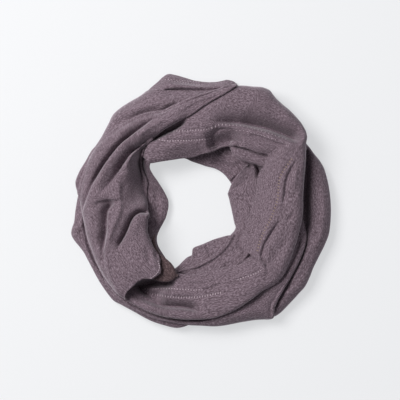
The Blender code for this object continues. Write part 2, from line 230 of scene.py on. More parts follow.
def crease_lift(x: Array, y: Array, crease: Crease) -> Array:
    """Height that one crease adds at plan points: lift times a bell across it times its fade along it.

    The bell is exp(-(distance / width) ** power), with its own width on each hand of the path.

    Args:
        x: plan X of each point, in millimetres.
        y: plan Y of each point.
        crease: the trough or ridge.

    Returns:
        The lift in millimetres, of the shape of x.
    """
    path = smooth_path(crease.path)
    start, step = path[:-1], np.diff(path, axis=0)
    length = np.hypot(step[:, 0], step[:, 1])
    total = length.sum()
    run = np.concatenate([[0.0], np.cumsum(length)[:-1]])
    reach = BELL_REACH * max(crease.left, crease.right)
    close = (x > path[:, 0].min() - reach) & (x < path[:, 0].max() + reach)
    close &= (y > path[:, 1].min() - reach) & (y < path[:, 1].max() + reach)
    px, py = x[close], y[close]
    best, side, place = np.full(px.shape, np.inf), np.zeros(px.shape), np.zeros(px.shape)
    for k in range(len(step)):
        dx, dy = px - start[k, 0], py - start[k, 1]
        t = np.clip((dx * step[k, 0] + dy * step[k, 1]) / length[k] ** 2, 0, 1)
        away = np.hypot(dx - t * step[k, 0], dy - t * step[k, 1])
        closer = away < best
        best = np.where(closer, away, best)
        side = np.where(closer, step[k, 0] * dy - step[k, 1] * dx, side)
        place = np.where(closer, (run[k] + t * length[k]) / total, place)
    width = np.where(side > 0, crease.left, crease.right)
    fade = soft_step(place / max(crease.fade_in, 1e-6)) * soft_step((1 - place) / max(crease.fade_out, 1e-6))
    lift = np.zeros(x.shape)
    lift[close] = crease.lift * np.exp(-((best / width) ** crease.power)) * fade
    return lift


def edge_slope(edge: Array, inside: Array) -> Array:
    """How steeply the cloth already falls at its edge: the angle of fall over reach, evened along the edge.

    Args:
        edge: the edge's points, one row each.
        inside: the points one step inside the edge.

    Returns:
        The slope at each point in radians, between level and nearly upright.
    """
    reach = np.maximum(np.hypot(*(edge[:, :2] - inside[:, :2]).T), 1e-6)
    slope = np.arctan2(inside[:, 2] - edge[:, 2], reach)
    beside = 4
    window = np.full(2 * beside + 1, 1 / (2 * beside + 1))
    evened = np.convolve(np.pad(slope, beside, mode="edge"), window, mode="valid")
    return np.clip(evened, 0, np.radians(STEEPEST))


def rolled_edge(edge: Array, inside: Array, radius: Array, turn: float, run: Array, steps: int) -> Array:
    """Rows of cloth that carry an edge on round a fold and back underneath.

    The section starts along the cloth's own slope and bends down on an arc of the given radius: at a heading
    p below level it lies radius * (sin p - sin p0) out and radius * (cos p - cos p0) up from the edge, p0 being
    the slope at the edge. Past the turn it runs on straight.

    Args:
        edge: the edge's points, one row each.
        inside: the points one step inside the edge.
        radius: of the fold at each point.
        turn: heading, in degrees below level, at which the arc ends.
        run: how far the cloth goes on after the arc, at each point.
        steps: how many rows make the arc.

    Returns:
        The new rows, nearest first, shaped (steps + 2, points, 3).
    """
    out = edge[:, :2] - inside[:, :2]
    out = out / np.maximum(np.hypot(out[:, 0], out[:, 1]), 1e-6)[:, None]
    first = edge_slope(edge, inside)
    rows = []
    for k in range(1, steps + 1):
        heading = first + (np.radians(turn) - first) * k / steps
        away = radius * (np.sin(heading) - np.sin(first))
        fall = radius * (np.cos(heading) - np.cos(first))
        rows.append(np.concatenate([edge[:, :2] + out * away[:, None], (edge[:, 2] + fall)[:, None]], axis=1))
    for part in (0.5, 1.0):
        beyond = rows[steps - 1].copy()
        beyond[:, :2] += out * (run * part * np.cos(np.radians(turn)))[:, None]
        beyond[:, 2] -= run * part * np.sin(np.radians(turn))
        rows.append(beyond)
    return np.array(rows)


class Pile:
    """The top of what is laid so far, as heights in square cells over the table."""

    CELL = 0.8
    REACH = 150.0
    FINER = 3
    BLURS = 2
    SIDES = ((1, 0), (-1, 0), (0, 1), (0, -1))
    ROUND = SIDES + ((1, 1), (-1, -1), (1, -1), (-1, 1), (2, 0), (-2, 0), (0, 2), (0, -2))

    def __init__(self) -> None:
        """An empty table."""
        side = int(2 * self.REACH / self.CELL) + 1
        self.top: Array = np.zeros((side, side))
        self.smooth: Array = self.top.copy()

    def cells(self, x: Array, y: Array) -> tuple[Array, Array]:
        """Fractional cell numbers of plan points."""
        return (x + self.REACH) / self.CELL, (y + self.REACH) / self.CELL

    def lay(self, grid: Array) -> None:
        """Adds a surface, then widens the pile by a cell or two and blurs it, as soft cloth rounds an edge.

        Args:
            grid: the surface's points, row by row.
        """
        fine = grid
        for axis in (0, 1):
            count = fine.shape[axis]
            at = np.linspace(0, count - 1, self.FINER * (count - 1) + 1)
            low = np.minimum(at.astype(int), count - 2)
            part = np.expand_dims(at - low, tuple(i for i in range(3) if i != axis))
            fine = np.take(fine, low, axis) * (1 - part) + np.take(fine, low + 1, axis) * part
        column, row = (np.rint(c).astype(int) for c in self.cells(fine[..., 0], fine[..., 1]))
        np.maximum.at(self.top, (column, row), fine[..., 2])
        wide = self.top.copy()
        for shift in self.ROUND:
            wide = np.maximum(wide, np.roll(self.top, shift, axis=(0, 1)))
        for _ in range(self.BLURS):
            for axis in (0, 1):
                wide = (np.roll(wide, 1, axis) + 2 * wide + np.roll(wide, -1, axis)) / 4
        self.smooth = wide

    def under(self, x: Array, y: Array) -> Array:
        """Height of the pile under plan points, read between the four nearest cells.

        Args:
            x: plan X of each point, in millimetres.
            y: plan Y of each point.

        Returns:
            The height at each point.
        """
        column, row = self.cells(x, y)
        i = np.clip(column.astype(int), 0, self.smooth.shape[0] - 2)
        j = np.clip(row.astype(int), 0, self.smooth.shape[1] - 2)
        s, t = np.clip(column - i, 0, 1), np.clip(row - j, 0, 1)
        near = self.smooth[i, j] * (1 - s) + self.smooth[i + 1, j] * s
        far = self.smooth[i, j + 1] * (1 - s) + self.smooth[i + 1, j + 1] * s
        return near * (1 - t) + far * t


# ------------ objects and nodes


def add_object(name: str, data: bpy.types.ID) -> bpy.types.Object:
    """A new object in the scene, at the origin.

    Args:
        name: of the object.
        data: its mesh, light or camera.

    Returns:
        The object.
    """
    made = bpy.data.objects.new(name, data)
    bpy.context.scene.collection.objects.link(made)
    return made


def new_paint(name: str) -> tuple[bpy.types.Material, Tree, bpy.types.Node]:
    """A new material.

    Args:
        name: of the material.

    Returns:
        The material, its node tree and its Principled shader.
    """
    made = bpy.data.materials.new(name)
    made.use_nodes = True
    return made, made.node_tree, made.node_tree.nodes["Principled BSDF"]


def set_inputs(node: bpy.types.Node, **values: Union[float, Colour]) -> None:
    """Gives a node's inputs their values. An underscore in a keyword stands for a space in the input's name."""
    for key, value in values.items():
        node.inputs[key.replace("_", " ")].default_value = value


def node_group(
    name: str, inputs: Sequence[tuple[str, str, object]], outputs: Sequence[tuple[str, str]]
) -> tuple[Tree, bpy.types.Node, bpy.types.Node]:
    """An empty shader group with the given sockets.

    Args:
        name: of the group.
        inputs: name, socket type and default of each input.
        outputs: name and socket type of each output.

    Returns:
        The group's tree, its input node and its output node.
    """
    tree = bpy.data.node_groups.new(name, "ShaderNodeTree")
    for label, kind, value in inputs:
        socket = tree.interface.new_socket(name=label, in_out="INPUT", socket_type=kind)
        if value is not None:
            socket.default_value = value
    for label, kind in outputs:
        tree.interface.new_socket(name=label, in_out="OUTPUT", socket_type=kind)
    return tree, tree.nodes.new("NodeGroupInput"), tree.nodes.new("NodeGroupOutput")


def streak_noise(tree: Tree, vector: Socket, counts: Point, name: str) -> Socket:
    """A noise drawn out along the yarn.

    Args:
        tree: where the nodes go.
        vector: the cloth's own metres.
        counts: its counts to the metre along the yarn and across it.
        name: what the streaks are.

    Returns:
        The noise, about 0 to 1.
    """
    stretch = tree.nodes.new("ShaderNodeVectorMath")
    stretch.operation = "MULTIPLY"
    stretch.inputs[1].default_value = (*counts, 1.0)
    stretch.label = name
    tree.links.new(vector, stretch.inputs[0])
    noise = tree.nodes.new("ShaderNodeTexNoise")
    set_inputs(noise, Scale=1.0, Detail=2.0, Roughness=0.55)
    tree.links.new(stretch.outputs[0], noise.inputs["Vector"])
    return noise.outputs["Fac"]


def math_node(
    tree: Tree, operation: str, first: Union[Socket, float], second: Union[Socket, float, None] = None
) -> Socket:
    """A Math node.

    Args:
        tree: where the node goes.
        operation: its kind.
        first: a socket or a number.
        second: another, where the kind takes two.

    Returns:
        Its result.
    """
    node = tree.nodes.new("ShaderNodeMath")
    node.operation = operation
    for socket, value in zip(node.inputs, (first, second)):
        if value is None:
            continue
        if isinstance(value, (int, float)):
            socket.default_value = value
        else:
            tree.links.new(value, socket)
    return node.outputs[0]


def map_range(tree: Tree, value: Socket, low: float, high: float, to_low: float, to_high: float) -> Socket:
    """A value carried from one range to another and held there.

    Args:
        tree: where the node goes.
        value: what is carried.
        low: start of its own range.
        high: end of its own range.
        to_low: start of the new range.
        to_high: end of the new range.

    Returns:
        The carried value.
    """
    node = tree.nodes.new("ShaderNodeMapRange")
    set_inputs(node, From_Min=low, From_Max=high, To_Min=to_low, To_Max=to_high)
    tree.links.new(value, node.inputs["Value"])
    return node.outputs["Result"]


def mix_colour(tree: Tree, share: Socket, first: Union[Socket, Colour], second: Union[Socket, Colour]) -> Socket:
    """Two colours mixed.

    Args:
        tree: where the node goes.
        share: how much of the second shows, 0 to 1.
        first: a colour or a socket.
        second: a colour or a socket.

    Returns:
        The mixed colour.
    """
    node = tree.nodes.new("ShaderNodeMix")
    node.data_type = "RGBA"
    for key, value in (("Factor", share), ("A", first), ("B", second)):
        coloured = key != "Factor"
        socket = next(s for s in node.inputs if s.name == key and (s.type == "RGBA") == coloured and s.enabled)
        if isinstance(value, tuple):
            socket.default_value = value
        else:
            tree.links.new(value, socket)
    return next(s for s in node.outputs if s.type == "RGBA")


# Counts to the metre of the streaks in the yarn, along it and across it.
SLUBS = (70, 560)
FLECKS = (420, 900)
DYE_DRIFT = (14, 60)
# Radians to the metre of the knit's two sines, and how far a wale bends the courses.
WALES = 2850.0
COURSES = 3700.0
CHEVRON = 1.4
# Shares of the knit's relief.
WALE_RELIEF, LOOP_RELIEF, SLUB_RELIEF = 0.45, 0.35, 0.6


def jersey_group() -> Tree:
    """The shared look of heathered jersey: streaks of dark and pale wool along the yarn, and its knit relief.

    Inputs are the cloth's own metres and the three wool colours. Outputs are the mixed colour, the height of
    the knit and a roughness. The knit's wales and courses are the sizes of sines along and across the yarn, the
    courses bent to chevrons by the wales.

    Returns:
        The group's tree.
    """
    inputs = (
        ("Cloth", "NodeSocketVector", None),
        ("Wool", "NodeSocketColor", None),
        ("Dark Wool", "NodeSocketColor", None),
        ("Pale Wool", "NodeSocketColor", None),
    )
    outputs = (("Color", "NodeSocketColor"), ("Height", "NodeSocketFloat"), ("Roughness", "NodeSocketFloat"))
    tree, start, end = node_group("heathered_jersey", inputs, outputs)
    cloth, wool, dark_wool, pale_wool = (start.outputs[label] for label, _, _ in inputs)
    slub = streak_noise(tree, cloth, SLUBS, "slubs")
    fleck = streak_noise(tree, cloth, FLECKS, "flecks")
    drift = streak_noise(tree, cloth, DYE_DRIFT, "drift of the dye")
    toned = mix_colour(tree, map_range(tree, drift, 0.35, 0.65, 0.0, 0.16), wool, dark_wool)
    darkened = mix_colour(tree, map_range(tree, slub, 0.56, 0.30, 0.0, 0.52), toned, dark_wool)
    mixed = mix_colour(tree, map_range(tree, fleck, 0.44, 0.66, 0.0, 0.66), darkened, pale_wool)
    separate = tree.nodes.new("ShaderNodeSeparateXYZ")
    tree.links.new(cloth, separate.inputs[0])
    along = math_node(tree, "MULTIPLY", separate.outputs["X"], WALES)
    across = math_node(tree, "MULTIPLY", separate.outputs["Y"], COURSES)
    wale = math_node(tree, "ABSOLUTE", math_node(tree, "SINE", along))
    chevron = math_node(tree, "ADD", across, math_node(tree, "MULTIPLY", wale, CHEVRON))
    loops = math_node(tree, "ABSOLUTE", math_node(tree, "SINE", chevron))
    ribs = math_node(tree, "MULTIPLY", wale, WALE_RELIEF)
    knit = math_node(tree, "ADD", ribs, math_node(tree, "MULTIPLY", loops, LOOP_RELIEF))
    height = math_node(tree, "ADD", knit, math_node(tree, "MULTIPLY", slub, SLUB_RELIEF))
    tree.links.new(mixed, end.inputs["Color"])
    tree.links.new(height, end.inputs["Height"])
    tree.links.new(map_range(tree, slub, 0.3, 0.7, 0.98, 0.86), end.inputs["Roughness"])
    return tree


@dataclass(frozen=True)
class JerseyFinish:
    """Heathered wool jersey: the yarn's three colours, linear, how its fuzz and knit catch the light, and a pale
    highlight painted into its colour at grazing angles.
    """

    name: str
    wool: Colour
    dark_wool: Colour
    pale_wool: Colour
    knit_depth: float = 0.00045
    sheen: float = 0.22
    sheen_tint: Colour = (0.80, 0.74, 0.80, 1.0)
    # Painted highlight: the pale colour that is mixed into the base colour at grazing angles, how much of it is mixed
    # in, and how narrow its band is.
    painted_highlight_colour: Colour = (0.66, 0.58, 0.64, 1.0)
    painted_highlight_share: float = 0.9
    painted_highlight_narrowness: float = 7.0

    def material(self) -> bpy.types.Material:
        """The finish as a material that reads each piece's own cloth map.

        Returns:
            The material: the knit's group and a pale highlight painted into the base colour at grazing angles, in a
                Principled shader.
        """
        made, tree, shader = new_paint(self.name)
        cloth = tree.nodes.new("ShaderNodeUVMap")
        cloth.uv_map = "cloth"
        knit = tree.nodes.new("ShaderNodeGroup")
        knit.node_tree = bpy.data.node_groups.get("heathered_jersey") or jersey_group()
        set_inputs(knit, Wool=self.wool, Dark_Wool=self.dark_wool, Pale_Wool=self.pale_wool)
        tree.links.new(cloth.outputs["UV"], knit.inputs["Cloth"])
        bump = tree.nodes.new("ShaderNodeBump")
        set_inputs(bump, Strength=0.7, Distance=self.knit_depth)
        tree.links.new(knit.outputs["Height"], bump.inputs["Height"])
        # Painted highlight: the base colour turns pale where the surface is seen edge-on. This stands in for light
        # caught by the wool's fuzz.
        facing = tree.nodes.new("ShaderNodeLayerWeight")
        set_inputs(facing, Blend=0.5)
        rim = math_node(tree, "POWER", facing.outputs["Facing"], self.painted_highlight_narrowness)
        painted_highlight = math_node(tree, "MULTIPLY", rim, self.painted_highlight_share)
        tree.links.new(mix_colour(tree, painted_highlight, knit.outputs["Color"], self.painted_highlight_colour), shader.inputs["Base Color"])
        tree.links.new(knit.outputs["Roughness"], shader.inputs["Roughness"])
        tree.links.new(bump.outputs["Normal"], shader.inputs["Normal"])
        set_inputs(shader, Specular_IOR_Level=0.15, Sheen_Roughness=0.45)
        set_inputs(shader, Sheen_Weight=self.sheen, Sheen_Tint=self.sheen_tint)
        return made


@dataclass(frozen=True)
class ThreadFinish:
    """Sewing thread of two colours twisted together, with a slight gloss."""

    name: str
    colour: Colour
    other: Colour

    def material(self) -> bpy.types.Material:
        """The finish as a material, its ply marked by a fine noise on object coordinates.

        Returns:
            The material.
        """
        made, tree, shader = new_paint(self.name)
        place = tree.nodes.new("ShaderNodeTexCoord")
        noise = tree.nodes.new("ShaderNodeTexNoise")
        set_inputs(noise, Scale=900.0)
        tree.links.new(place.outputs["Object"], noise.inputs["Vector"])
        tree.links.new(mix_colour(tree, noise.outputs["Fac"], self.colour, self.other), shader.inputs["Base Color"])
        set_inputs(shader, Roughness=0.6)
        return made


FACE_JERSEY = JerseyFinish(
    "face_jersey",
    wool=(0.142, 0.101, 0.124, 1),
    dark_wool=(0.042, 0.026, 0.033, 1),
    pale_wool=(0.36, 0.282, 0.332, 1),
)
SHADED_JERSEY = JerseyFinish(
    "wrong_side_jersey",
    wool=(0.066, 0.041, 0.045, 1),
    dark_wool=(0.030, 0.019, 0.019, 1),
    pale_wool=(0.21, 0.145, 0.150, 1),
)
PALE_THREAD = ThreadFinish("pale_thread", (0.62, 0.51, 0.57, 1), (0.42, 0.34, 0.38, 1))
TAN_THREAD = ThreadFinish("tan_thread", (0.36, 0.27, 0.22, 1), (0.22, 0.15, 0.12, 1))

Finish = Union[JerseyFinish, ThreadFinish]


# ------------ the cloth


@dataclass
class Fabric:
    """A finished surface: its points in millimetres, one row per station, and its cloth measures in metres."""

    FACES_UP = 0.05

    points: Array
    along: Array
    across: Array

    def height_at(self, x: Array, y: Array) -> tuple[Array, Array]:
        """The nearest surface point to each plan point, among the points that face up.

        Args:
            x: plan X of each point, in millimetres.
            y: plan Y of each point.

        Returns:
            The surface points and their unit normals, one row each.
        """
        flat = self.points.reshape(-1, 3)
        normal = self.normals().reshape(-1, 3)
        up = normal[:, 2] > self.FACES_UP
        flat, normal = flat[up], normal[up]
        away = (flat[None, :, 0] - x[:, None]) ** 2 + (flat[None, :, 1] - y[:, None]) ** 2
        nearest = away.argmin(axis=1)
        return flat[nearest], normal[nearest]

    def normals(self) -> Array:
        """Unit normals of the grid, the cross product of its across and along directions."""
        along, across = np.gradient(self.points, axis=0), np.gradient(self.points, axis=1)
        normal = np.cross(across, along)
        return normal / np.maximum(np.linalg.norm(normal, axis=-1, keepdims=True), 1e-9)


def mesh_object(name: str, points: Array, faces: Array, finish: Finish) -> bpy.types.Object:
    """A smooth mesh object.

    Args:
        name: of the object.
        points: its vertices in millimetres, one row each in the last axis.
        faces: vertex numbers of each face.
        finish: its material.

    Returns:
        The object, at the origin.
    """
    mesh = bpy.data.meshes.new(name)
    mesh.from_pydata((points.reshape(-1, 3) * MM).tolist(), [], faces.tolist())
    mesh.shade_smooth()
    mesh.materials.append(finish.material())
    return add_object(name, mesh)


def map_cloth(made: bpy.types.Object, along: Array, across: Array) -> None:
    """Gives an object its cloth map.

    Args:
        made: the object.
        along: the cloth's metres along the yarn at each vertex.
        across: its metres across the yarn.
    """
    mesh = made.data
    layer = mesh.uv_layers.new(name="cloth")
    corner = np.zeros(len(mesh.loops), np.int32)
    mesh.loops.foreach_get("vertex_index", corner)
    measures = np.stack([along.reshape(-1), across.reshape(-1)], axis=1)[corner]
    layer.data.foreach_set("uv", measures.astype(np.float32).reshape(-1))


def sheet_object(name: str, fabric: Fabric, thickness: float, finish: JerseyFinish) -> bpy.types.Object:
    """A mesh object of a fabric, given its thickness on the side that faces the heap.

    Args:
        name: of the object.
        fabric: the surface.
        thickness: of the cloth, in millimetres.
        finish: its material.

    Returns:
        The object, at the origin, with its cloth map.
    """
    rows, columns = fabric.points.shape[:2]
    index = np.arange(rows * columns).reshape(rows, columns)
    faces = np.stack([index[:-1, :-1], index[:-1, 1:], index[1:, 1:], index[1:, :-1]], axis=-1).reshape(-1, 4)
    made = mesh_object(name, fabric.points, faces, finish)
    map_cloth(made, fabric.along, fabric.across)
    wall = made.modifiers.new("cloth", "SOLIDIFY")
    wall.thickness = thickness * MM
    wall.offset = -1.0
    wall.use_quality_normals = True
    return made


@dataclass
class Stretch:
    """One stretch of the loop that shows: a strip of cloth between an inner and an outer edge.

    Its fields are millimetres, but for the flat size in metres and what its tables say. A roll is the radius of a
    fold, a run is how far the cloth goes on after it, and an ease multiplies a roll from place to place.
    """

    CROWDING = 0.5  # how far the columns crowd to both edges, from 0 to 1
    FINE = 1500  # places at which an edge's length is measured
    FOLD_TURN, FOLD_STEPS = 165, 9  # degrees that a fold turns, and the rows of its arc
    HEM_TURN, HEM_STEPS, HEM_RUN = 178, 6, 4.0
    END_TURN, END_STEPS, END_RUN = 165, 8, 2.0  # the run in radii of the roll
    END_BAND = (0.5, 0.4)  # where a tapered end begins to thin, and over what share
    INNER_RUN = 6.0
    LONGEST_RUN = (3.0, 1.0)  # the most that cloth runs on: radii of the roll, and millimetres more
    BLEND = 1.0  # square millimetres that round the smooth maximum
    LEAST_GAP = 0.15
    ROLL_ROOM = 1.7  # room under a rolled edge, in radii of the roll
    ROLL_BAND = (0.80, 0.16)  # where that room begins and over what share it grows
    WIDEST_ROLL = 0.25  # of the strip's width
    FINER_RIPPLE = (0.35, 0.5, 0.35)  # length, width and strength of the finer relief, as shares of the broad one's
    DRAWN_IN = 0.4  # radii by which a rolled edge is drawn in, so that its outline stays in place
    SEAM_GROOVE = (-0.9, 1.5, 1.5, 0.03, 0.03)  # lift, widths and fades of the groove along a row of stitches

    name: str
    node: str
    inner: Sequence[EdgeAt]
    outer: Sequence[EdgeAt]
    crest: Sequence[CrestAt]
    flat: Cut
    creases: Sequence[Crease] = ()
    inner_kind: EdgeKind = EdgeKind.HIDDEN
    outer_kind: EdgeKind = EdgeKind.FOLD
    end_kind: EdgeKind = EdgeKind.HIDDEN
    fullness: float = 2.2
    inner_roll: float = 1.2
    outer_roll: float = 4.0
    end_roll: float = 3.0
    end_taper: float = 0.0
    inner_ease: Sequence[Point] = ()
    outer_ease: Sequence[Point] = ()
    rows: Sequence["StitchRow"] = ()
    hem_roll: float = 1.2
    outer_run: float = 6.0
    bow: Sequence[Point] = ()
    bow_over: float = 12.0
    spacing: float = 1.3
    columns: int = 44
    ripple: float = 0.35
    ripple_length: float = 26.0
    ripple_width: float = 5.0
    seed: int = 1
    finish: JerseyFinish = FACE_JERSEY
    thickness: float = 0.9
    clearance: float = 0.35
    held: str = "folded"
    rests_on: Sequence[str] = ()
    fabric: Optional[Fabric] = field(default=None, repr=False)
    made: Optional[bpy.types.Object] = field(default=None, repr=False)

    def _stations(self) -> Array:
        """Places along the ring, evenly spread over the longer of its two edges at every step.

        Returns:
            The angle of each station, in degrees.
        """
        first = max(self.inner[0].at, self.outer[0].at)
        last = min(self.inner[-1].at, self.outer[-1].at)
        fine = np.linspace(first, last, self.FINE)
        moved = []
        for rows in (self.inner, self.outer):
            radius, _, lean = read_table(rows, fine).T
            x, y = polar_xy(fine + lean, radius)
            moved.append(np.hypot(np.diff(x), np.diff(y)))
        length = np.concatenate([[0.0], np.cumsum(np.maximum(*moved))])
        count = int(length[-1] / self.spacing) + 1
        return np.interp(np.linspace(0, length[-1], count), length, fine)

    def _profile(self, share: Array, kind: EdgeKind) -> Array:
        """How high the section has climbed a share s of the way from an edge to the crest.

        A fold climbs as a full quarter ellipse, upright at the edge: (1 - (1 - s) ** n) ** (1 / n), n being the
        fullness. A hemmed or hidden edge climbs as a quarter sine.

        Args:
            share: s, from 0 at the edge to 1 at the crest.
            kind: how the cloth ends there.

        Returns:
            The share of the climb.
        """
        if kind is EdgeKind.FOLD:
            return (1 - (1 - share) ** self.fullness) ** (1 / self.fullness)
        return np.sin(np.pi * share / 2)

    def shape(self, pile: Pile) -> Fabric:
        """The stretch's surface, laid on the pile.

        Creases and a fine ripple are added to the bare sections, and the whole is lifted clear of the pile.
        Folded and hemmed edges then roll under.

        Args:
            pile: what is laid already; the stretch is added to it.

        Returns:
            The finished surface.
        """
        at = self._stations()
        even = np.linspace(0, 1, self.columns)
        share = even - np.sin(2 * np.pi * even) * self.CROWDING / (2 * np.pi)
        share = np.broadcast_to(share, (len(at), self.columns))
        x, y, z = self._sections(at, share)
        for crease in (*self.creases, *(Crease(row.path, *self.SEAM_GROOVE) for row in self.rows)):
            z = z + crease_lift(x, y, crease)
        along, across = self._measure(np.stack([x, y, z], axis=-1))
        z = z + self._ripple(along / MM, across / MM)
        rolls = self._rolls(np.hypot(x[:, -1] - x[:, 0], y[:, -1] - y[:, 0]), at)
        grid = self._rested(np.stack([x, y, z], axis=-1), share, rolls, pile)
        grid = self._rolled(self._drawn_in(grid, share, rolls), rolls, pile)
        self.fabric = Fabric(grid, *self._measure(grid))
        pile.lay(grid)
        return self.fabric

    def _sections(self, at: Array, share: Array) -> tuple[Array, Array, Array]:
        """The bare cross-sections: straight in plan, or bowed at the end, and climbing from each edge to the crest.

        Args:
            at: place of each station.
            share: how far across the strip each point is.

        Returns:
            X, Y and height of each point.
        """
        in_r, in_z, in_lean = (c[:, None] for c in read_table(self.inner, at).T)
        out_r, out_z, out_lean = (c[:, None] for c in read_table(self.outer, at).T)
        peak, top = (c[:, None] for c in read_table(self.crest, at).T)
        (x0, y0), (x1, y1) = polar_xy(at[:, None] + in_lean, in_r), polar_xy(at[:, None] + out_lean, out_r)
        x, y = x0 + (x1 - x0) * share, y0 + (y1 - y0) * share
        if self.bow:
            shares, degrees = np.array(self.bow, float).T
            ramp = soft_step((at - (at[-1] - self.bow_over)) / self.bow_over)[:, None]
            swing = np.radians(np.interp(share, shares, degrees) * ramp)
            dx, dy = x - HOLE_CENTRE[0], y - HOLE_CENTRE[1]
            x = HOLE_CENTRE[0] + dx * np.cos(swing) - dy * np.sin(swing)
            y = HOLE_CENTRE[1] + dx * np.sin(swing) + dy * np.cos(swing)
        inside = np.clip(share / peak, 0, 1)
        outside = np.clip((1 - share) / (1 - peak), 0, 1)
        climb = in_z + (top - in_z) * self._profile(inside, self.inner_kind)
        fall = out_z + (top - out_z) * self._profile(outside, self.outer_kind)
        return x, y, np.where(share < peak, climb, fall)

    def _drawn_in(self, grid: Array, share: Array, rolls: tuple[Array, Array]) -> Array:
        """The grid drawn in at its rolled edges, so that the outline of the roll lies where the edge was.

        Args:
            grid: the surface's points; they are moved.
            share: how far across the strip each point is.
            rolls: inner and outer roll radius at each station.

        Returns:
            The same grid.
        """
        for kind, roll, first, second, weight in (
            (self.outer_kind, rolls[1], -1, -2, share**4),
            (self.inner_kind, rolls[0], 0, 1, (1 - share) ** 4),
        ):
            if kind is not EdgeKind.HIDDEN:
                out = grid[:, first, :2] - grid[:, second, :2]
                out = out / np.maximum(np.hypot(*out.T), 1e-6)[:, None]
                proud = self.DRAWN_IN * roll * (1 - np.sin(edge_slope(grid[:, first], grid[:, second])))
                grid[..., :2] -= (out * proud[:, None])[:, None] * weight[..., None]
        return grid

    def _rolls(self, width: Array, at: Array) -> tuple[Array, Array]:
        """Radius of the inner and outer roll at each station, never more than the strip's width allows.

        Where an ease is given, that edge's radius is multiplied by its value at each place.

        Args:
            width: of the strip at each station, in millimetres.
            at: place of each station.

        Returns:
            The inner and the outer radius.
        """
        radii = []
        for kind, roll, ease in (
            (self.inner_kind, self.inner_roll, self.inner_ease),
            (self.outer_kind, self.outer_roll, self.outer_ease),
        ):
            radius = np.minimum(self.hem_roll if kind is EdgeKind.HEM else roll, self.WIDEST_ROLL * width)
            radii.append(radius * np.interp(at, *np.array(ease, float).T) if ease else radius)
        return radii[0], radii[1]

    def _rested(self, grid: Array, share: Array, rolls: tuple[Array, Array], pile: Pile) -> Array:
        """The grid kept off the pile, with room under a rolled edge for the cloth that turns back there.

        The height is the smooth maximum of the cloth's own and the pile's: half their sum, plus half the root of
        their squared difference and the blend.

        Args:
            grid: the surface's points.
            share: how far across the strip each point is.
            rolls: inner and outer roll radius at each station.
            pile: what is laid already.

        Returns:
            The raised points.
        """
        rest = pile.under(grid[..., 0], grid[..., 1]) + self.thickness + self.clearance
        begins, band = self.ROLL_BAND
        if self.outer_kind is not EdgeKind.HIDDEN:
            rest = rest + self.ROLL_ROOM * rolls[1][:, None] * soft_step((share - begins) / band)
        if self.inner_kind is not EdgeKind.HIDDEN:
            rest = rest + self.ROLL_ROOM * rolls[0][:, None] * soft_step((1 - begins - share) / band)
        made = grid.copy()
        made[..., 2] = (grid[..., 2] + rest + np.sqrt((grid[..., 2] - rest) ** 2 + self.BLEND)) / 2
        return made

    def _ripple(self, along: Array, across: Array) -> Array:
        """Fine slack of the knit: two sizes of relief, drawn out along the yarn, the finer one weaker.

        Args:
            along: the cloth's millimetres along the yarn.
            across: its millimetres across the yarn.

        Returns:
            The height that it adds.
        """
        length, width, strength = self.FINER_RIPPLE
        broad = lattice_noise(along / self.ripple_length, across / self.ripple_width, self.seed)
        length, width = length * self.ripple_length, width * self.ripple_width
        return self.ripple * (broad + strength * lattice_noise(along / length, across / width, self.seed + 50))

    def _rolled(self, grid: Array, rolls: tuple[Array, Array], pile: Pile) -> Array:
        """The grid with its folds and hems rolled under, kept off the pile.

        Args:
            grid: the surface's points.
            rolls: inner and outer roll radius at each station.
            pile: what is laid already.

        Returns:
            The longer and wider grid.
        """
        parts = [grid]
        for kind, radius, run, first, second in (
            (self.outer_kind, rolls[1], self.outer_run, -1, -2),
            (self.inner_kind, rolls[0], self.INNER_RUN, 0, 1),
        ):
            if kind is EdgeKind.HIDDEN:
                continue
            hem = kind is EdgeKind.HEM
            turn, steps = (self.HEM_TURN, self.HEM_STEPS) if hem else (self.FOLD_TURN, self.FOLD_STEPS)
            back = np.minimum(self.HEM_RUN if hem else run, self.LONGEST_RUN[0] * radius + self.LONGEST_RUN[1])
            roll = rolled_edge(grid[:, first], grid[:, second], radius, turn, back, steps)
            if first == 0:
                parts.insert(0, roll[::-1].transpose(1, 0, 2))
            else:
                parts.append(roll.transpose(1, 0, 2))
        grid = np.concatenate(parts, axis=1)
        if self.end_kind is not EdgeKind.HIDDEN:
            even = np.linspace(0, 1, grid.shape[1])
            begins, band = self.END_BAND
            radius = self.end_roll * (1 - self.end_taper * soft_step((even - begins) / band))
            end = rolled_edge(grid[-1], grid[-2], radius, self.END_TURN, self.END_RUN * radius, self.END_STEPS)
            grid = np.concatenate([grid, end], axis=0)
        lowest = pile.under(grid[..., 0], grid[..., 1]) + self.thickness + self.LEAST_GAP
        grid[..., 2] = np.maximum(grid[..., 2], lowest)
        return grid

    @staticmethod
    def _measure(grid: Array) -> tuple[Array, Array]:
        """The cloth's own metres at each point: along the middle of the strip, and across each station.

        Args:
            grid: the surface's points, in millimetres.

        Returns:
            The two measures, each of the grid's shape.
        """
        middle = grid[:, grid.shape[1] // 2]
        step = np.linalg.norm(np.diff(middle, axis=0), axis=1)
        along = np.concatenate([[0.0], np.cumsum(step)]) * MM
        side = np.linalg.norm(np.diff(grid, axis=1), axis=2)
        across = np.concatenate([np.zeros((grid.shape[0], 1)), np.cumsum(side, axis=1)], axis=1) * MM
        return np.broadcast_to(along[:, None], grid.shape[:2]).copy(), across

    @staticmethod
    def _area(points: Array) -> float:
        """Area of a grid: each cell's two sides multiplied as vectors, and the lengths of the products summed.

        Args:
            points: the surface's points, in millimetres.

        Returns:
            Its area in square metres.
        """
        cells = np.cross(np.diff(points, axis=0)[:, :-1], np.diff(points, axis=1)[:-1])
        return float(np.linalg.norm(cells, axis=-1).sum()) * MM * MM

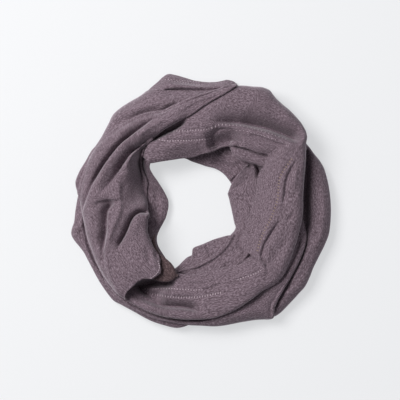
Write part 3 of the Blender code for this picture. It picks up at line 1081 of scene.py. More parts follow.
    def build(self, pile: Pile) -> bpy.types.Object:
        """Shapes the stretch and makes it an object that stands for its node.

        Args:
            pile: what is laid already; the stretch is added to it.

        Returns:
            The object.
        """
        fabric = self.shape(pile)
        made = sheet_object(self.name, fabric, self.thickness, self.finish)
        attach(made, "root")
        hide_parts(self.node)
        self.made = made
        shaped, cut = self._area(fabric.points), self.flat[0] * self.flat[1]
        log.info("%s: shaped %.4f m2, cut %.4f m2, ratio %.2f", self.name, shaped, cut, shaped / cut)
        return made

    def declare(self, stitching: Sequence[bpy.types.Object]) -> None:
        """Does nothing: the stretch is not declared as cloth here.

        Args:
            stitching: the objects sewn on it; not used.
        """


# ------------ stitching


@dataclass
class StitchRow:
    """A row of machine stitches along a path on a stretch: small capsules of thread lying on the knit."""

    name: str
    path: tuple[Point, ...]
    kind: ThreadKind
    pitch: float = 2.6
    length: float = 1.5
    upright_length: float = 2.7
    thick: float = 0.95
    slant: float = 80.0
    raised: float = 0.30

    def _capsule(self) -> tuple[Array, Array]:
        """A low capsule along +X of unit length and thickness: rings of six points with closed ends.

        Ring k lies at x = -cos(a_k) / 2 with radius sin(a_k) / 2, a_k running from pole to pole.

        Returns:
            Its points, and its triangles.
        """
        around = np.linspace(0, 2 * np.pi, 7)[:-1]
        rings = np.radians([35, 75, 105, 145])
        x = -np.cos(rings)[:, None] / 2 + 0 * around
        y = np.sin(rings)[:, None] * np.cos(around) / 2
        z = np.sin(rings)[:, None] * np.sin(around) / 2
        points = np.concatenate([np.stack([x, y, z], -1).reshape(-1, 3), [[-0.5, 0, 0], [0.5, 0, 0]]])
        index = np.arange(x.size).reshape(x.shape)
        ahead = np.roll(index, -1, axis=1)
        near, far = index[:-1], ahead[1:]
        walls = np.stack([near, ahead[:-1], far, near, far, index[1:]], axis=-1)
        start, end = np.full_like(index[0], x.size), np.full_like(index[0], x.size + 1)
        caps = np.stack([start, ahead[0], index[0], end, index[-1], ahead[-1]], axis=-1)
        return points, np.concatenate([walls.reshape(-1, 3), caps.reshape(-1, 3)])

    def mesh(self, fabric: Fabric) -> tuple[Array, Array]:
        """The row's stitches on a fabric: each capsule set at its place, along the row and level with the cloth.

        Args:
            fabric: the surface that carries the row.

        Returns:
            The points in millimetres and the triangles.
        """
        path = smooth_path(self.path, spacing=self.pitch)
        spot, normal = fabric.height_at(path[:, 0], path[:, 1])
        spot = spot.copy()
        spot[:, :2] = path
        ahead = np.gradient(spot, axis=0)
        ahead -= (ahead * normal).sum(axis=1, keepdims=True) * normal
        ahead /= np.linalg.norm(ahead, axis=1, keepdims=True)
        side = np.cross(normal, ahead)
        upright = self.kind is ThreadKind.UPRIGHT
        lean = np.radians(self.slant) if upright else 0.0
        along = ahead * np.cos(lean) + side * np.sin(lean)
        beside = np.cross(normal, along)
        unit, faces = self._capsule()
        shape = unit * np.array([self.upright_length if upright else self.length, self.thick, self.thick])
        centre = spot + normal * (self.thick * self.raised)
        points = (
            centre[:, None]
            + shape[None, :, :1] * along[:, None]
            + shape[None, :, 1:2] * beside[:, None]
            + shape[None, :, 2:] * normal[:, None]
        )
        offsets = (np.arange(len(spot)) * len(unit))[:, None, None]
        return points.reshape(-1, 3), (faces[None] + offsets).reshape(-1, 3)


def thread_object(name: str, rows: Sequence[StitchRow], fabric: Fabric, finish: ThreadFinish) -> bpy.types.Object:
    """All the stitches of several rows as one object on a fabric.

    Args:
        name: of the object.
        rows: the rows of stitches.
        fabric: the surface that carries them.
        finish: the thread.

    Returns:
        The object.
    """
    points, faces, count = [], [], 0
    for row in rows:
        some, shapes = row.mesh(fabric)
        points.append(some)
        faces.append(shapes + count)
        count += len(some)
    made = mesh_object(name, np.concatenate(points), np.concatenate(faces), finish)
    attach(made, "root")
    log.info("%s: %d rows of stitches, %d triangles", name, len(rows), sum(len(f) for f in faces))
    return made


# ------------ the stretches of this garment


def edge(*rows: tuple) -> list[EdgeAt]:
    """An edge table from rows of place, radius, height and lean. Without a height, a row keeps the last one's.

    Args:
        rows: two to four numbers each.

    Returns:
        The table.
    """
    table: list[EdgeAt] = []
    for at, radius, *rest in rows:
        table.append(EdgeAt(at, radius, *(rest or [table[-1].height])))
    return table


def crest(*rows: tuple) -> list[CrestAt]:
    """A crest table from rows of place, share and height."""
    return [CrestAt(*row) for row in rows]


def creases(*rows: tuple) -> tuple[Crease, ...]:
    """Creases from rows of path, lift, left width, right width, and fades and power where they are special."""
    return tuple(Crease(*row) for row in rows)


HEM_ROWS_BACK = (
    StitchRow("sunk", ((104.2, 81.5), (98.6, 80.3), (91.4, 79.7), (84.3, 80.4), (79.5, 82.2),
        (76.8, 84.6)), ThreadKind.UPRIGHT, thick=0.5),
    StitchRow("upper", ((76.4, 84.6), (74.2, 87.4), (71.6, 90.2), (67.6, 92), (63, 95), (58.6, 98), (54.4, 100.8),
        (50.2, 103.6), (47.1, 106), (44.2, 108.7), (40.4, 112.7),
        (37.4, 116.6)), ThreadKind.UPRIGHT, pitch=3.5, upright_length=2.2),
    StitchRow("lower", ((114.4, 77.3), (110.5, 74.3), (103.7, 71.5), (95.7, 70.2), (87.6, 70.3), (79.6, 72.2),
        (76, 74.6)), ThreadKind.DOTS),
    StitchRow("lower end", ((61.2, 91.3), (59, 93.1), (55.6, 95.5), (52.1, 97.8), (48.9, 100.4), (45.6, 103),
        (42.6, 105.9), (39.6, 109.1), (37, 112.7), (34.6, 116.6)), ThreadKind.DOTS, pitch=3.5, length=1.2, thick=0.6),
)
HEM_ROWS_RIGHT = (
    StitchRow("right", ((27.5, 110.5), (25.3, 102.9), (22.7, 95.9), (19.2, 91.1), (15.1, 88.4), (10, 86.3),
        (5.5, 83.8), (0.7, 81), (355.6, 78.6), (350.2, 76.1), (344.4, 74.1), (338.5, 73.5), (333.6, 74.1),
        (329, 75.8)), ThreadKind.UPRIGHT, pitch=3.0),
)
HEM_ROWS_FRONT = (
    StitchRow("chain", ((239.1, 91.4), (241.8, 88.9), (245.8, 85.3), (250.8, 82.2), (256.9, 79.3), (264.1, 78),
        (271.5, 78.4), (277.3, 78.6)), ThreadKind.DOTS),
    StitchRow("chain end", ((304, 81.8), (307.6, 83.4), (311, 85.3), (315.7, 88), (319.2, 89.8)), ThreadKind.DOTS),
    StitchRow("ladder", ((240, 94), (243.2, 93.2), (246.8, 91.4), (251.6, 88.9), (256.8, 87.3), (263.3, 86.2),
        (270, 85.6), (275.4, 85.4), (280.8, 85.1), (285.7, 85.2), (289.4, 85.8)), ThreadKind.UPRIGHT, thick=0.7),
)
TIP_ROWS = (
    StitchRow("tip", ((235.9, 59.8), (239.6, 63.2), (240.9, 67.5), (240.2, 72.4),
        (238.7, 77)), ThreadKind.DOTS, pitch=2.0),
)
BACK_HEM_ROWS = (
    StitchRow("outer", ((86.9, 129.8), (92, 130.6), (96, 132), (101.4, 134.5)), ThreadKind.DOTS, thick=0.5),
    StitchRow("inner", ((85.5, 127.2), (90, 127.7), (95, 129.8), (99.8, 132.2)), ThreadKind.DOTS, thick=0.5),
)


@dataclass(frozen=True)
class Sewing:
    """Rows of stitches in one thread, sewn as one object on the stretch of a node."""

    name: str
    node: str
    rows: Sequence[StitchRow]
    thread: ThreadFinish


class Layers:
    """Stretches that lie together, and what is sewn on them. A sub-assembly's cut sizes are its fields."""

    def stretches(self) -> Sequence[Stretch]:
        """The stretches, lowest first."""
        raise NotImplementedError

    def sewing(self) -> Sequence[Sewing]:
        """What is sewn on them."""
        return ()

    def build(self, pile: Pile) -> list[Stretch]:
        """Lays the stretches in order and sews them.

        Args:
            pile: what is laid already; the stretches are added to it.

        Returns:
            The stretches as laid.
        """
        laid = list(self.stretches())
        for stretch in laid:
            stretch.build(pile)
            sewn = [s for s in self.sewing() if s.node == stretch.node]
            stretch.declare([thread_object(s.name, s.rows, stretch.fabric, s.thread) for s in sewn])
        log.info("%s: %d stretches laid", type(self).__name__, len(laid))
        return laid


LOWER_TURN_CREASES = creases(
    (((29.4, 132.5), (25.6, 127.5), (20.5, 122.6), (15.2, 118.5), (8, 114.9), (0.5, 114), (353.5, 115.3),
        (348.6, 116.7)), -10.0, 3.2, 3.0, 0.08, 0.10, 1.3),
    (((351.6, 115.9), (345.7, 117), (340.6, 117.7), (336.6, 118.2), (332.9, 118.4), (329, 118.5), (325.7, 119),
        (322.5, 120), (319.2, 120.8), (316.1, 122.5), (312.8, 124.1), (310.2, 127),
        (308.4, 131.4)), -6.0, 2.2, 1.6, 0.05, 0.10, 1.4),
    (((352, 121), (0, 124), (10, 125), (20, 124)), -1.2, 3, 4),
    (((342, 127), (350, 131), (0, 132), (12, 131)), 0.8, 2.5, 3),
    (((318, 121), (326, 125), (336, 126), (346, 128)), -1.3, 2.5, 3.5),
    (((181, 104), (187, 112), (191, 121)), 1.6, 3, 4, 0.4, 0.05),
    (((174, 114), (181, 113.5), (190, 113), (200, 111)), -1.8, 2, 3),
    (((206, 112), (216, 114), (228, 116), (240, 114)), -1.2, 1.5, 2.0),
    (((236, 112), (250, 115), (264, 115)), -0.9, 1.5, 2.0),
    (((181, 110), (188.9, 109.3), (196.4, 109.5), (202, 109.5), (208.8, 110.1), (215.3, 110.8), (220.8, 111.7),
        (225.7, 113.1), (231.2, 114.9)), -5.5, 2.2, 1.3, 0.12, 0.2, 1.4),
)
INNER_LOW_TURN_CREASES = creases(
    (((291.8, 36), (291.8, 42), (292.6, 49)), -2.6, 1.0, 1.4, 0.2, 0.1),
    (((292, 38), (284, 41), (276, 45), (270, 50)), -1.1, 1.6, 2.0),
    (((300, 38), (310, 41), (318, 44)), -1.0, 1.5, 2.5),
    (((38, 57), (46, 58), (58, 56), (72, 54)), -3.6, 3.5, 3.5),
    (((36.5, 49.1), (37.7, 53.7), (38.5, 58.1), (38.8, 62.2)), -3.6, 1.2, 1.6, 0.05, 0.3),
    (((46.8, 67.9), (42.2, 66.2), (37.2, 65.3), (31.9, 65.3)), -2.0, 2.6, 0.9, 0.15, 0.2),
    (((44, 50), (56, 51), (68, 50)), 1.0, 2.5, 2.5),
    (((35, 66), (42, 65), (50, 66)), -3.0, 3, 3, 0.1, 0.3),
)
SECOND_TURN_CREASES = creases(
    (((316, 112), (322, 112.5), (330, 112.5), (340, 112.4), (348, 111.6)), -3.6, 1.8, 1.8, 0.3, 0.2),
    (((236, 111.4), (242, 111), (247.8, 110.8), (253, 110.2), (258, 109.9), (264, 109.6), (270, 109.4), (276, 109.3),
        (282, 109.6)), -9.0, 1.2, 0.9, 0.15, 0.2, 1.4),
    (((262, 113), (272, 112), (284, 113), (296, 117)), -1.0, 2, 2.5),
    (((284, 113), (296, 114), (305, 118)), 0.9, 2.5, 2.5),
    (((239.5, 98.6), (244.3, 99.2), (250, 99.2), (254.7, 98.5), (258.8, 97.5), (262.9, 96.7), (267, 96.7),
        (271.2, 98.2), (276, 101)), -9.0, 7.0, 4.0, 0.06, 0.14),
)
INNER_TURN_CREASES = creases(
    (((26, 43), (28, 52), (30, 62), (31, 70)), -1.4, 3, 3.5),
    (((43.2, 70.7), (38.5, 74.2), (35.1, 77), (31.9, 78.5), (29, 76.4),
        (25.7, 71.6)), -13.0, 2.2, 2.2, 0.35, 0.30, 1.7),
    (((339.2, 53.5), (329.3, 56.8), (324, 60.3), (323.2, 66.7), (323.3, 72.6), (320.2, 72.1),
        (313.9, 67.8)), -5.0, 0.9, 3.2, 0.15, 0.15, 1.3),
    (((17.2, 60.7), (14.5, 66.1), (10.9, 71.3)), -1.0, 1.3, 1.6, 0.2, 0.3),
    (((12, 43), (14, 52), (17, 62)), -0.9, 3, 3),
    (((338, 49), (350, 47), (2, 46), (14, 47)), -0.8, 2.5, 3),
    (((300, 55), (312, 57), (322, 60)), -1.2, 3, 3.5),
    (((272, 60), (286, 57), (300, 53)), -0.7, 2, 2.5),
)


@dataclass
class LowTurns(Layers):
    """The turns that lie lowest: the outermost, the two round the hole, and the one along the front."""

    lower_turn_cut: Cut = (0.050, 0.683)
    inner_low_turn_cut: Cut = (0.046, 0.225)
    second_turn_cut: Cut = (0.037, 0.266)
    inner_turn_cut: Cut = (0.047, 0.155)

    def stretches(self) -> Sequence[Stretch]:
        """The stretches, lowest first."""
        return (self.lower_turn(), self.inner_low_turn(), self.second_turn(), self.inner_turn())

    def lower_turn(self) -> Stretch:
        """The outermost and lowest turn, whose fold lies on the table.

        Returns:
            The stretch, not yet laid.
        """
        return Stretch(
            "lower_turn_cloth", "lower_turn", flat=self.lower_turn_cut,
            inner=edge(
                (36, 104, 18), (62, 104), (90, 100, 17), (140, 97, 15), (172, 97), (200, 97, 16), (240, 98),
                (270, 97), (300, 97, 18), (315, 99, 12), (335, 101, 9), (360, 101, 8), (380, 103, 9), (392, 106, 11),
            ),
            outer=edge(
                (36, 124, 7), (48, 131), (62, 130), (76, 125), (88, 122), (100, 123), (112, 121), (128, 117),
                (142, 110), (156, 111), (168, 114), (172, 115.8, 8), (175, 116.4), (180, 117.6), (185, 119.2),
                (188.5, 122.6, 7), (191, 124, 6.5), (194, 122.4, 7), (198, 118.8), (202, 116.5, 8), (208, 116),
                (212, 116.4), (221, 118.3), (226, 119.6), (228.5, 120.2), (233.5, 118.3), (241, 117, 11),
                (250.6, 118.0, 13), (257, 118.3), (261.8, 118.7), (265.6, 117), (269, 114.2), (276, 112, 12),
                (290, 113, 8), (300, 118), (303, 126, 7), (306, 132.6, 6.5), (309, 135.6, 6), (311, 136),
                (316, 135.6, 7), (322, 136, 8), (326, 137), (331, 136), (335, 135), (340, 135.8), (345.5, 138),
                (351.5, 140), (360, 140), (370, 140), (377.5, 139.8), (381.7, 138.1), (385, 135.9), (388.5, 134.5),
                (390.7, 133.4), (392, 132),
            ),
            crest=crest(
                (36, 0.3, 20), (90, 0.3, 19), (140, 0.3, 16), (172, 0.35, 16), (200, 0.35, 18), (230, 0.35, 19),
                (270, 0.3, 18), (300, 0.4, 20), (315, 0.60, 22), (335, 0.60, 24), (360, 0.60, 24), (385, 0.56, 22),
                (392, 0.5, 20),
            ),
            creases=LOWER_TURN_CREASES, outer_run=9.0, columns=46, spacing=1.4, seed=3, held="laid",
        )

    def inner_low_turn(self) -> Stretch:
        """The lowest layer round the neck hole: its fold is the hole's edge at the back right and at the front.

        Returns:
            The stretch, not yet laid.
        """
        return Stretch(
            "inner_low_cloth", "inner_low_turn", flat=self.inner_low_turn_cut,
            inner=edge(
                (251, 62.5, 8), (253, 60.8), (254.5, 59), (257, 55.4), (260, 51), (264, 47), (268.8, 45),
                (269.6, 44.8), (270.6, 38.6), (273, 37), (277.5, 36), (286, 35.3), (295, 35), (303, 35.5), (311, 37),
                (318, 39.5), (324.7, 43), (332, 49), (345, 51), (360, 49), (378, 47), (391, 47.8, 7), (403, 48.8, 6),
                (412, 49.2), (421, 48.7), (433, 47.4), (442, 48.2), (450, 49.9), (457.5, 53.4), (466, 56),
            ),
            outer=edge(
                (251, 71, 21), (262, 70), (290, 69), (320, 71), (345, 70, 20), (378, 70), (395, 76, 21),
                (415, 80, 14), (430, 78, 13), (445, 73, 14), (466, 72, 19),
            ),
            crest=crest((251, 0.93, 16), (330, 0.93, 16), (392, 0.93, 14), (420, 0.93, 11), (466, 0.93, 11)),
            creases=INNER_LOW_TURN_CREASES, inner_kind=EdgeKind.FOLD, outer_kind=EdgeKind.HIDDEN, inner_roll=3.0,
            columns=34, seed=11, rests_on=("lower_turn_cloth",), held="laid",
        )

    def second_turn(self) -> Stretch:
        """The turn over the lowest, along the front, with its fold edge lifting off it at the right.

        Returns:
            The stretch, not yet laid.
        """
        return Stretch(
            "second_turn_cloth", "second_turn", flat=self.second_turn_cut,
            inner=edge(
                (213, 97, 18), (240, 98), (270, 96, 19), (300, 95, 21), (315, 96, 23), (330, 98, 24), (345, 99, 25),
                (357, 98),
            ),
            outer=edge(
                (213, 107, 16), (219.4, 112), (224, 112.6), (230.4, 113.4, 15), (238, 113.6), (250, 113, 20),
                (262, 112.8, 21), (267, 113.4, 20), (270, 114.4, 19), (275, 115.4, 18), (281.3, 118, 17),
                (286.1, 119.5, 15), (290.9, 121, 13), (295, 123.2, 9), (300, 127, 8), (304, 131.8, 7.5),
                (306.6, 134.7), (307.6, 134, 9), (308.6, 130.6, 11), (310.4, 127, 14), (315.4, 122, 19),
                (320.7, 119.5, 22), (328.6, 117.6, 23), (336, 117.2), (342.7, 116.8, 22), (348, 115.6, 21),
                (352, 113.8, 20), (357, 110, 19),
            ),
            crest=crest(
                (213, 0.5, 22), (240, 0.6, 24.5), (270, 0.6, 27), (295, 0.55, 28), (306, 0.5, 27.5), (315, 0.6, 28.5),
                (330, 0.7, 29.5), (345, 0.7, 28), (357, 0.7, 25),
            ),
            creases=SECOND_TURN_CREASES, outer_roll=2.6, columns=34, seed=21, rests_on=("lower_turn_cloth",),
        )

    def inner_turn(self) -> Stretch:
        """The layer over the lowest, on the right side of the hole and along the front of it.

        Returns:
            The stretch, not yet laid.
        """
        return Stretch(
            "inner_turn_cloth", "inner_turn", flat=self.inner_turn_cut,
            inner=edge(
                (256, 63, 24), (258, 62, 23.5), (263, 58.4, 21.5), (270, 56.2, 19), (275, 54.8, 16.5),
                (287, 51.2, 15.5), (298.5, 49.4, 14.5), (311, 47.5, 13), (318, 46.4, 12), (324, 45.6, 10),
                (330, 46, 9), (334.6, 46.9), (338.4, 47), (341, 46), (344, 44.2), (350.6, 42), (360, 40), (372, 39),
                (382, 39.4), (385, 39.6, 10), (388, 41.4, 11), (390.5, 43.6, 13), (393.4, 46.6, 15), (396, 51.6, 19),
                (397.7, 57.6, 22), (399.4, 66, 25),
            ),
            outer=edge(
                (256, 75, 25), (275, 74, 26), (300, 74), (320, 80, 27), (335, 74), (360, 74), (380, 82, 28),
                (390, 90), (399.4, 92),
            ),
            crest=crest((256, 0.9, 21), (300, 0.9, 21), (330, 0.9, 22), (360, 0.9, 23), (399, 0.9, 25)),
            creases=INNER_TURN_CREASES, inner_kind=EdgeKind.FOLD, outer_kind=EdgeKind.HIDDEN, inner_roll=2.2,
            columns=36, seed=31, rests_on=("inner_low_cloth",),
        )


HEM_CORNER_CREASES = creases(
    (((150, 34), (165, 30), (182, 30), (198, 34)), 0.8, 2, 2.5),
    (((146, 44), (160, 37), (178, 35), (196, 38), (208, 44)), -1.3, 2.0, 2.5),
)
BACK_HEM_CREASES = creases(
    (((75.3, 126.2), (79.7, 122.8), (83.8, 120.9), (91, 120.4), (94.7, 121), (99.4, 121.8),
        (104, 123.4)), -13.0, 0.9, 1.4, 0.08, 0.12, 1.3),
    (((80, 128), (88, 127), (96, 129), (102, 131)), -0.9, 1.6, 2.2),
    (((84, 123.5), (92, 125), (100, 127.5)), 0.9, 1.6, 2.0),
)
MIDDLE_TURN_CREASES = creases(
    (((96, 112), (106, 112), (116, 113), (126, 116)), 1.2, 4, 4),
    (((88, 114), (96, 116), (104, 119)), -1.5, 3, 3),
    (((104, 108), (112, 109), (120, 111), (130, 114), (138, 114)), -2.2, 2.5, 3),
    (((95.3, 109), (102, 105.7), (106.5, 104.2), (113.2, 107), (118.7, 108.7), (124.6, 109.9),
        (131, 111.5)), -5.0, 1.0, 1.8, 0.2, 0.3, 1.3),
    (((140, 111), (148, 115), (154, 116.6)), -1.2, 2, 2.5),
    (((118, 118), (126, 120), (134, 118)), 0.8, 3, 3),
    (((146.9, 113.4), (152.9, 114.1), (157.2, 115), (162.8, 115.1), (167.5, 115.3),
        (171.6, 115.9)), -6.0, 1.0, 4.6, 0.2, 0.15),
)
CORNER_TUCK_CREASES = creases(
    (((38, 84), (46, 78), (54, 75)), -0.7, 2, 2),
    (((35.6, 93.5), (39.8, 88.5), (46.2, 83.7), (53, 79.7), (57.1, 77.4)), -4.0, 1.6, 4.0, 0.1, 0.1),
)


@dataclass
class TuckedHems(Layers):
    """The parts of the hem that show from under the upper turns, and the turn at the back."""

    hem_corner_cut: Cut = (0.043, 0.097)
    back_hem_cut: Cut = (0.042, 0.112)
    middle_turn_cut: Cut = (0.052, 0.204)
    corner_tuck_cut: Cut = (0.030, 0.039)

    def stretches(self) -> Sequence[Stretch]:
        """The stretches, lowest first."""
        return (self.hem_corner(), self.back_hem(), self.middle_turn(), self.corner_tuck())

    def sewing(self) -> Sequence[Sewing]:
        """The rows of stitches that show on them."""
        return (Sewing("back_hem_stitches", "back_hem", BACK_HEM_ROWS, PALE_THREAD),)

    def hem_corner(self) -> Stretch:
        """The turned corner of the hem, down the left side of the hole.

        Returns:
            The stretch, not yet laid.
        """
        return Stretch(
            "hem_corner_cloth", "hem_corner", flat=self.hem_corner_cut,
            inner=edge(
                (128, 66, 26), (131.5, 64, 25), (133.5, 62.6, 24), (135, 60.3, 23), (137, 53.6, 20), (139, 46, 17),
                (143, 37.4, 13), (146.5, 33, 11), (150, 30, 10), (155, 27.2, 9), (161, 25.6), (172, 24.6),
                (184, 25.4), (194, 27.3), (203, 31.7), (211, 38.7), (217, 44.3), (225, 48.6), (234, 51.6, 10),
                (240, 54, 11), (244, 57, 12),
            ),
            outer=edge(
                (128, 76, 16), (135, 72, 12), (143, 64, 8), (155, 57, 7), (170, 52, 10), (190, 51, 18), (205, 55, 22),
                (220, 61, 26), (232, 65, 27), (244, 67, 26),
            ),
            crest=crest(
                (128, 0.45, 27), (143, 0.55, 18), (158, 0.70, 12.5), (175, 0.75, 12), (190, 0.80, 15),
                (205, 0.85, 20), (244, 0.9, 27),
            ),
            fullness=1.4, creases=HEM_CORNER_CREASES, inner_kind=EdgeKind.FOLD, outer_kind=EdgeKind.HIDDEN,
            inner_roll=2.0, columns=30, spacing=1.1, seed=41, rests_on=("inner_low_cloth",),
        )

    def back_hem(self) -> Stretch:
        """The hem that sticks out low at the back.

        Returns:
            The stretch, not yet laid.
        """
        return Stretch(
            "back_hem_cloth", "back_hem", flat=self.back_hem_cut,
            inner=edge((64, 106, 20), (76, 105), (90, 105), (104, 106), (118, 105, 19)),
            outer=edge(
                (64, 126, 8), (68, 132, 7), (70, 134.8, 6.5), (72.6, 137.3, 6), (74.7, 137.1, 5.5), (77.1, 134.6),
                (80, 132, 6), (84.3, 130.7), (88.7, 131.5), (93, 134.6, 5.5), (97.1, 138.3, 5), (99.9, 140.2),
                (102.1, 138.5), (104.7, 134.9, 6), (108.8, 130.6, 7), (118, 120, 8),
            ),
            crest=crest((64, 0.35, 22), (76, 0.5, 23), (90, 0.5, 23.5), (104, 0.5, 23), (118, 0.3, 20)),
            creases=BACK_HEM_CREASES, outer_kind=EdgeKind.HEM, rows=BACK_HEM_ROWS, columns=64, seed=51,
            rests_on=("lower_turn_cloth",),
        )

    def middle_turn(self) -> Stretch:
        """The turn between the back hem and the left sweep, folding over the side at the back left.

        Returns:
            The stretch, not yet laid.
        """
        return Stretch(
            "middle_turn_cloth", "middle_turn", flat=self.middle_turn_cut,
            inner=edge(
                (68, 112, 30), (80, 104, 31), (94, 96), (110, 92), (130, 97, 30), (150, 100, 25), (174, 99, 21),
            ),
            outer=edge(
                (68, 128, 24), (74, 127), (79, 122.4, 22), (83, 120.1, 21), (84.4, 119.3), (90, 119.3),
                (97.4, 120.9, 20.5), (102.5, 123, 19), (106.6, 126.4, 17), (110, 128.6, 12), (113, 127.6, 9),
                (115.6, 126.8, 8), (120, 126.5), (124.4, 126.4), (128.5, 125.8), (130.8, 124.4), (132.7, 122.6),
                (136.7, 119.8), (141.6, 117.6), (145.5, 117.2), (149.4, 118.3), (154, 118.5), (160.7, 120.5, 7.5),
                (165.5, 121.4), (168, 120, 8), (171, 116.5, 9), (174, 112, 11),
            ),
            crest=crest(
                (68, 0.35, 32), (84, 0.4, 33), (100, 0.4, 34), (112, 0.4, 34), (130, 0.4, 31), (150, 0.4, 27),
                (174, 0.4, 22),
            ),
            creases=MIDDLE_TURN_CREASES, outer_roll=3.2, outer_ease=((68, 0.3), (102, 0.3), (112, 1), (174, 1)),
            columns=48, seed=61, rests_on=("back_hem_cloth", "lower_turn_cloth"),
        )

    def corner_tuck(self) -> Stretch:
        """The small rounded tongue of cloth under the hem, at the upper right of the hole.

        Returns:
            The stretch, not yet laid.
        """
        return Stretch(
            "corner_tuck_cloth", "corner_tuck", flat=self.corner_tuck_cut,
            inner=edge(
                (31, 84.5, 29), (33, 81.5), (35.4, 79.4), (39, 75.8), (42.6, 72.8), (46, 70.6), (48.7, 69.4),
                (52, 68.9), (54.8, 69.8), (57, 71.6), (58.4, 74),
            ),
            outer=edge((31, 104, 32), (36, 103, 33), (42, 98, 34), (48, 92), (54, 85, 33), (57, 80, 32), (58.4, 76)),
            crest=crest((31, 0.45, 32), (44, 0.45, 33), (54, 0.45, 32.5), (58.4, 0.5, 31)),
            creases=CORNER_TUCK_CREASES, inner_kind=EdgeKind.FOLD, outer_kind=EdgeKind.HIDDEN, end_kind=EdgeKind.FOLD,
            inner_roll=1.3, end_roll=1.2, columns=24, spacing=1.0, ripple=0.15, seed=71,
            rests_on=("inner_turn_cloth",),
        )


# The hollow behind the hem at the back right, and the roll of cloth beyond it.
BACK_HOLLOW = creases(
    (((63.3, 98.4), (57.8, 102), (52.4, 106.2), (47.2, 111), (42.3, 116.1), (37.6, 121.3), (34.2, 125.6),
        (31.7, 128.4)), -9.0, 5.5, 2.4, 0.3, 0.12, 1.3),
    (((78.2, 65.5), (72.6, 69.4), (67, 74), (61.8, 78.5), (56.7, 82.5),
        (53, 86.5)), -18.0, 11.0, 7.0, 0.26, 0.35, 1.8),
    (((81.5, 88.4), (76, 90.9), (71.9, 93.2), (66.7, 96), (60, 100.4), (54.5, 104.6), (49.3, 109.2), (44.8, 113.6),
        (40.4, 118.2), (36.8, 122.4), (34.2, 125.7), (31.8, 128.6)), -18.0, 8.0, 2.8, 0.34, 0.12, 1.3),
    (((70, 92), (62, 97), (54, 102), (47, 108), (40, 114.5)), 1.8, 4.0, 4.0, 0.35, 0.2),
    (((78.4, 69.4), (75.4, 73.4), (74.1, 78.4), (72.5, 83.2), (69.7, 86.6), (66.1, 89), (61.3, 91.7),
        (56.3, 93.7)), -2.4, 1.2, 1.2, 0.2, 0.4, 1.2),
    (((53.6, 94.4), (49.1, 97.7), (44.1, 101.6), (40.4, 105), (36.8, 109.9),
        (34, 115.8)), -4.0, 0.9, 1.3, 0.15, 0.15),
    (((97.5, 91.8), (93.6, 95), (88.8, 99.2), (84.5, 103.9), (79.6, 110.4), (75.3, 118.3), (72.1, 126.6),
        (70.6, 132.5)), -3.4, 14.0, 3.2, 0.15, 0.75),
    (((78, 78), (70, 86), (60, 88), (50, 92), (42, 98)), -1.6, 3.2, 3.2, 0.2, 0.3),
    (((60, 130), (52, 130), (44, 131)), -1.6, 4, 4, 0.3, 0.3),
    (((66, 118), (58, 122), (50, 126)), 1.2, 5, 5, 0.3, 0.3),
)
# Slack along the right side.
RIGHT_SLACK = creases(
    (((26.8, 117.6), (24.6, 110.5), (22, 103.9), (19.1, 99.1), (15.7, 96), (11.7, 93.7), (7.5, 91.4), (2.6, 89.1),
        (358, 87.5)), -3.6, 2.2, 1.2, 0.25, 0.45, 1.3),
    (((23.2, 114.2), (19.9, 108.5), (16.1, 104.6), (11.7, 103.2)), 1.8, 3.2, 3.2, 0.3, 0.3),
    (((9.4, 92.2), (9.1, 98.2), (7.9, 105)), -1.8, 3.0, 3.0, 0.2, 0.3),
    (((359.4, 101), (356.1, 96.7), (352.9, 93.2)), -1.6, 1.5, 1.5, 0.3, 0.3),
    (((356.7, 88.1), (352.2, 85.3), (348.1, 82.8), (344.2, 81), (340.2, 79.7), (335.8, 78.9), (331.9, 79.6),
        (328.8, 81), (326, 83.2)), -4.4, 2.6, 1.2, 0.35, 0.06, 1.3),
    (((326.2, 82.6), (324.8, 87.6), (323.1, 92.5), (321.3, 95.9), (318.1, 98.1)), -2.6, 1.3, 1.5, 0.05, 0.35),
    (((350, 100), (340, 96), (330, 94), (320, 92)), -1.5, 5, 5, 0.3, 0.3),
    (((6, 75), (356, 70), (346, 67), (336, 66)), -0.9, 3.5, 3.5, 0.2, 0.2),
    (((8, 84), (0, 79), (350, 76), (340, 75)), 0.9, 3, 3, 0.2, 0.2),
)
# The deep mouth under the end of the sweep.
MOUTH = creases(
    (((232.6, 112), (232.9, 107.8), (233.4, 102.2), (234.3, 96), (235.8, 90.7), (238.3, 85.8), (242.2, 81.4),
        (246.7, 78.4), (251.5, 75.7), (256.8, 69.9)), -26.0, 7.0, 5.0, 0.05, 0.20),
)
# The hollow behind the hem along the front.
FRONT_HOLLOW = creases(
    (((275.1, 78.9), (280.3, 78.5), (284.9, 77.8), (289.6, 77.5), (295.4, 79.3)), -1.8, 0.9, 1.2, 0.2, 0.3),
    (((234.7, 100.4), (237.7, 97.4), (242, 93.8), (247.1, 90.1), (252.5, 86.4)), -15.0, 6.0, 7.0, 0.15, 0.30),
    (((236.5, 98), (239.5, 98.6), (244.3, 99.2), (250, 99.2), (254.7, 98.5), (258.8, 97.5), (262.9, 96.7),
        (267, 96.7), (271.2, 98.2), (275.6, 100.9)), -15.0, 6.6, 1.3, 0.08, 0.14, 1.2),
    (((318, 98), (306, 96), (296, 93)), 1.2, 5, 5, 0.3, 0.3),
    (((262, 70), (276, 69), (290, 70), (302, 74)), 0.9, 3, 3, 0.2, 0.2),
    (((244, 72), (258, 73.5), (272, 73), (286, 73)), -0.9, 2.2, 2.2, 0.2, 0.2),
)
# The back, where the panel dives under the sweep.
DIVE = creases(
    (((132, 71), (124, 74), (112, 76), (100, 76), (90, 75)), 0.8, 3, 3, 0.2, 0.2),
    (((128, 66), (116, 64), (104, 62), (92, 62)), -0.9, 3, 3, 0.2, 0.2),
    (((91.9, 92), (97.6, 86), (103.6, 82.9), (108.5, 81.8), (113.6, 80.8),
        (119.7, 80.6)), -14.0, 1.6, 6.0, 0.30, 0.10, 1.3),
)


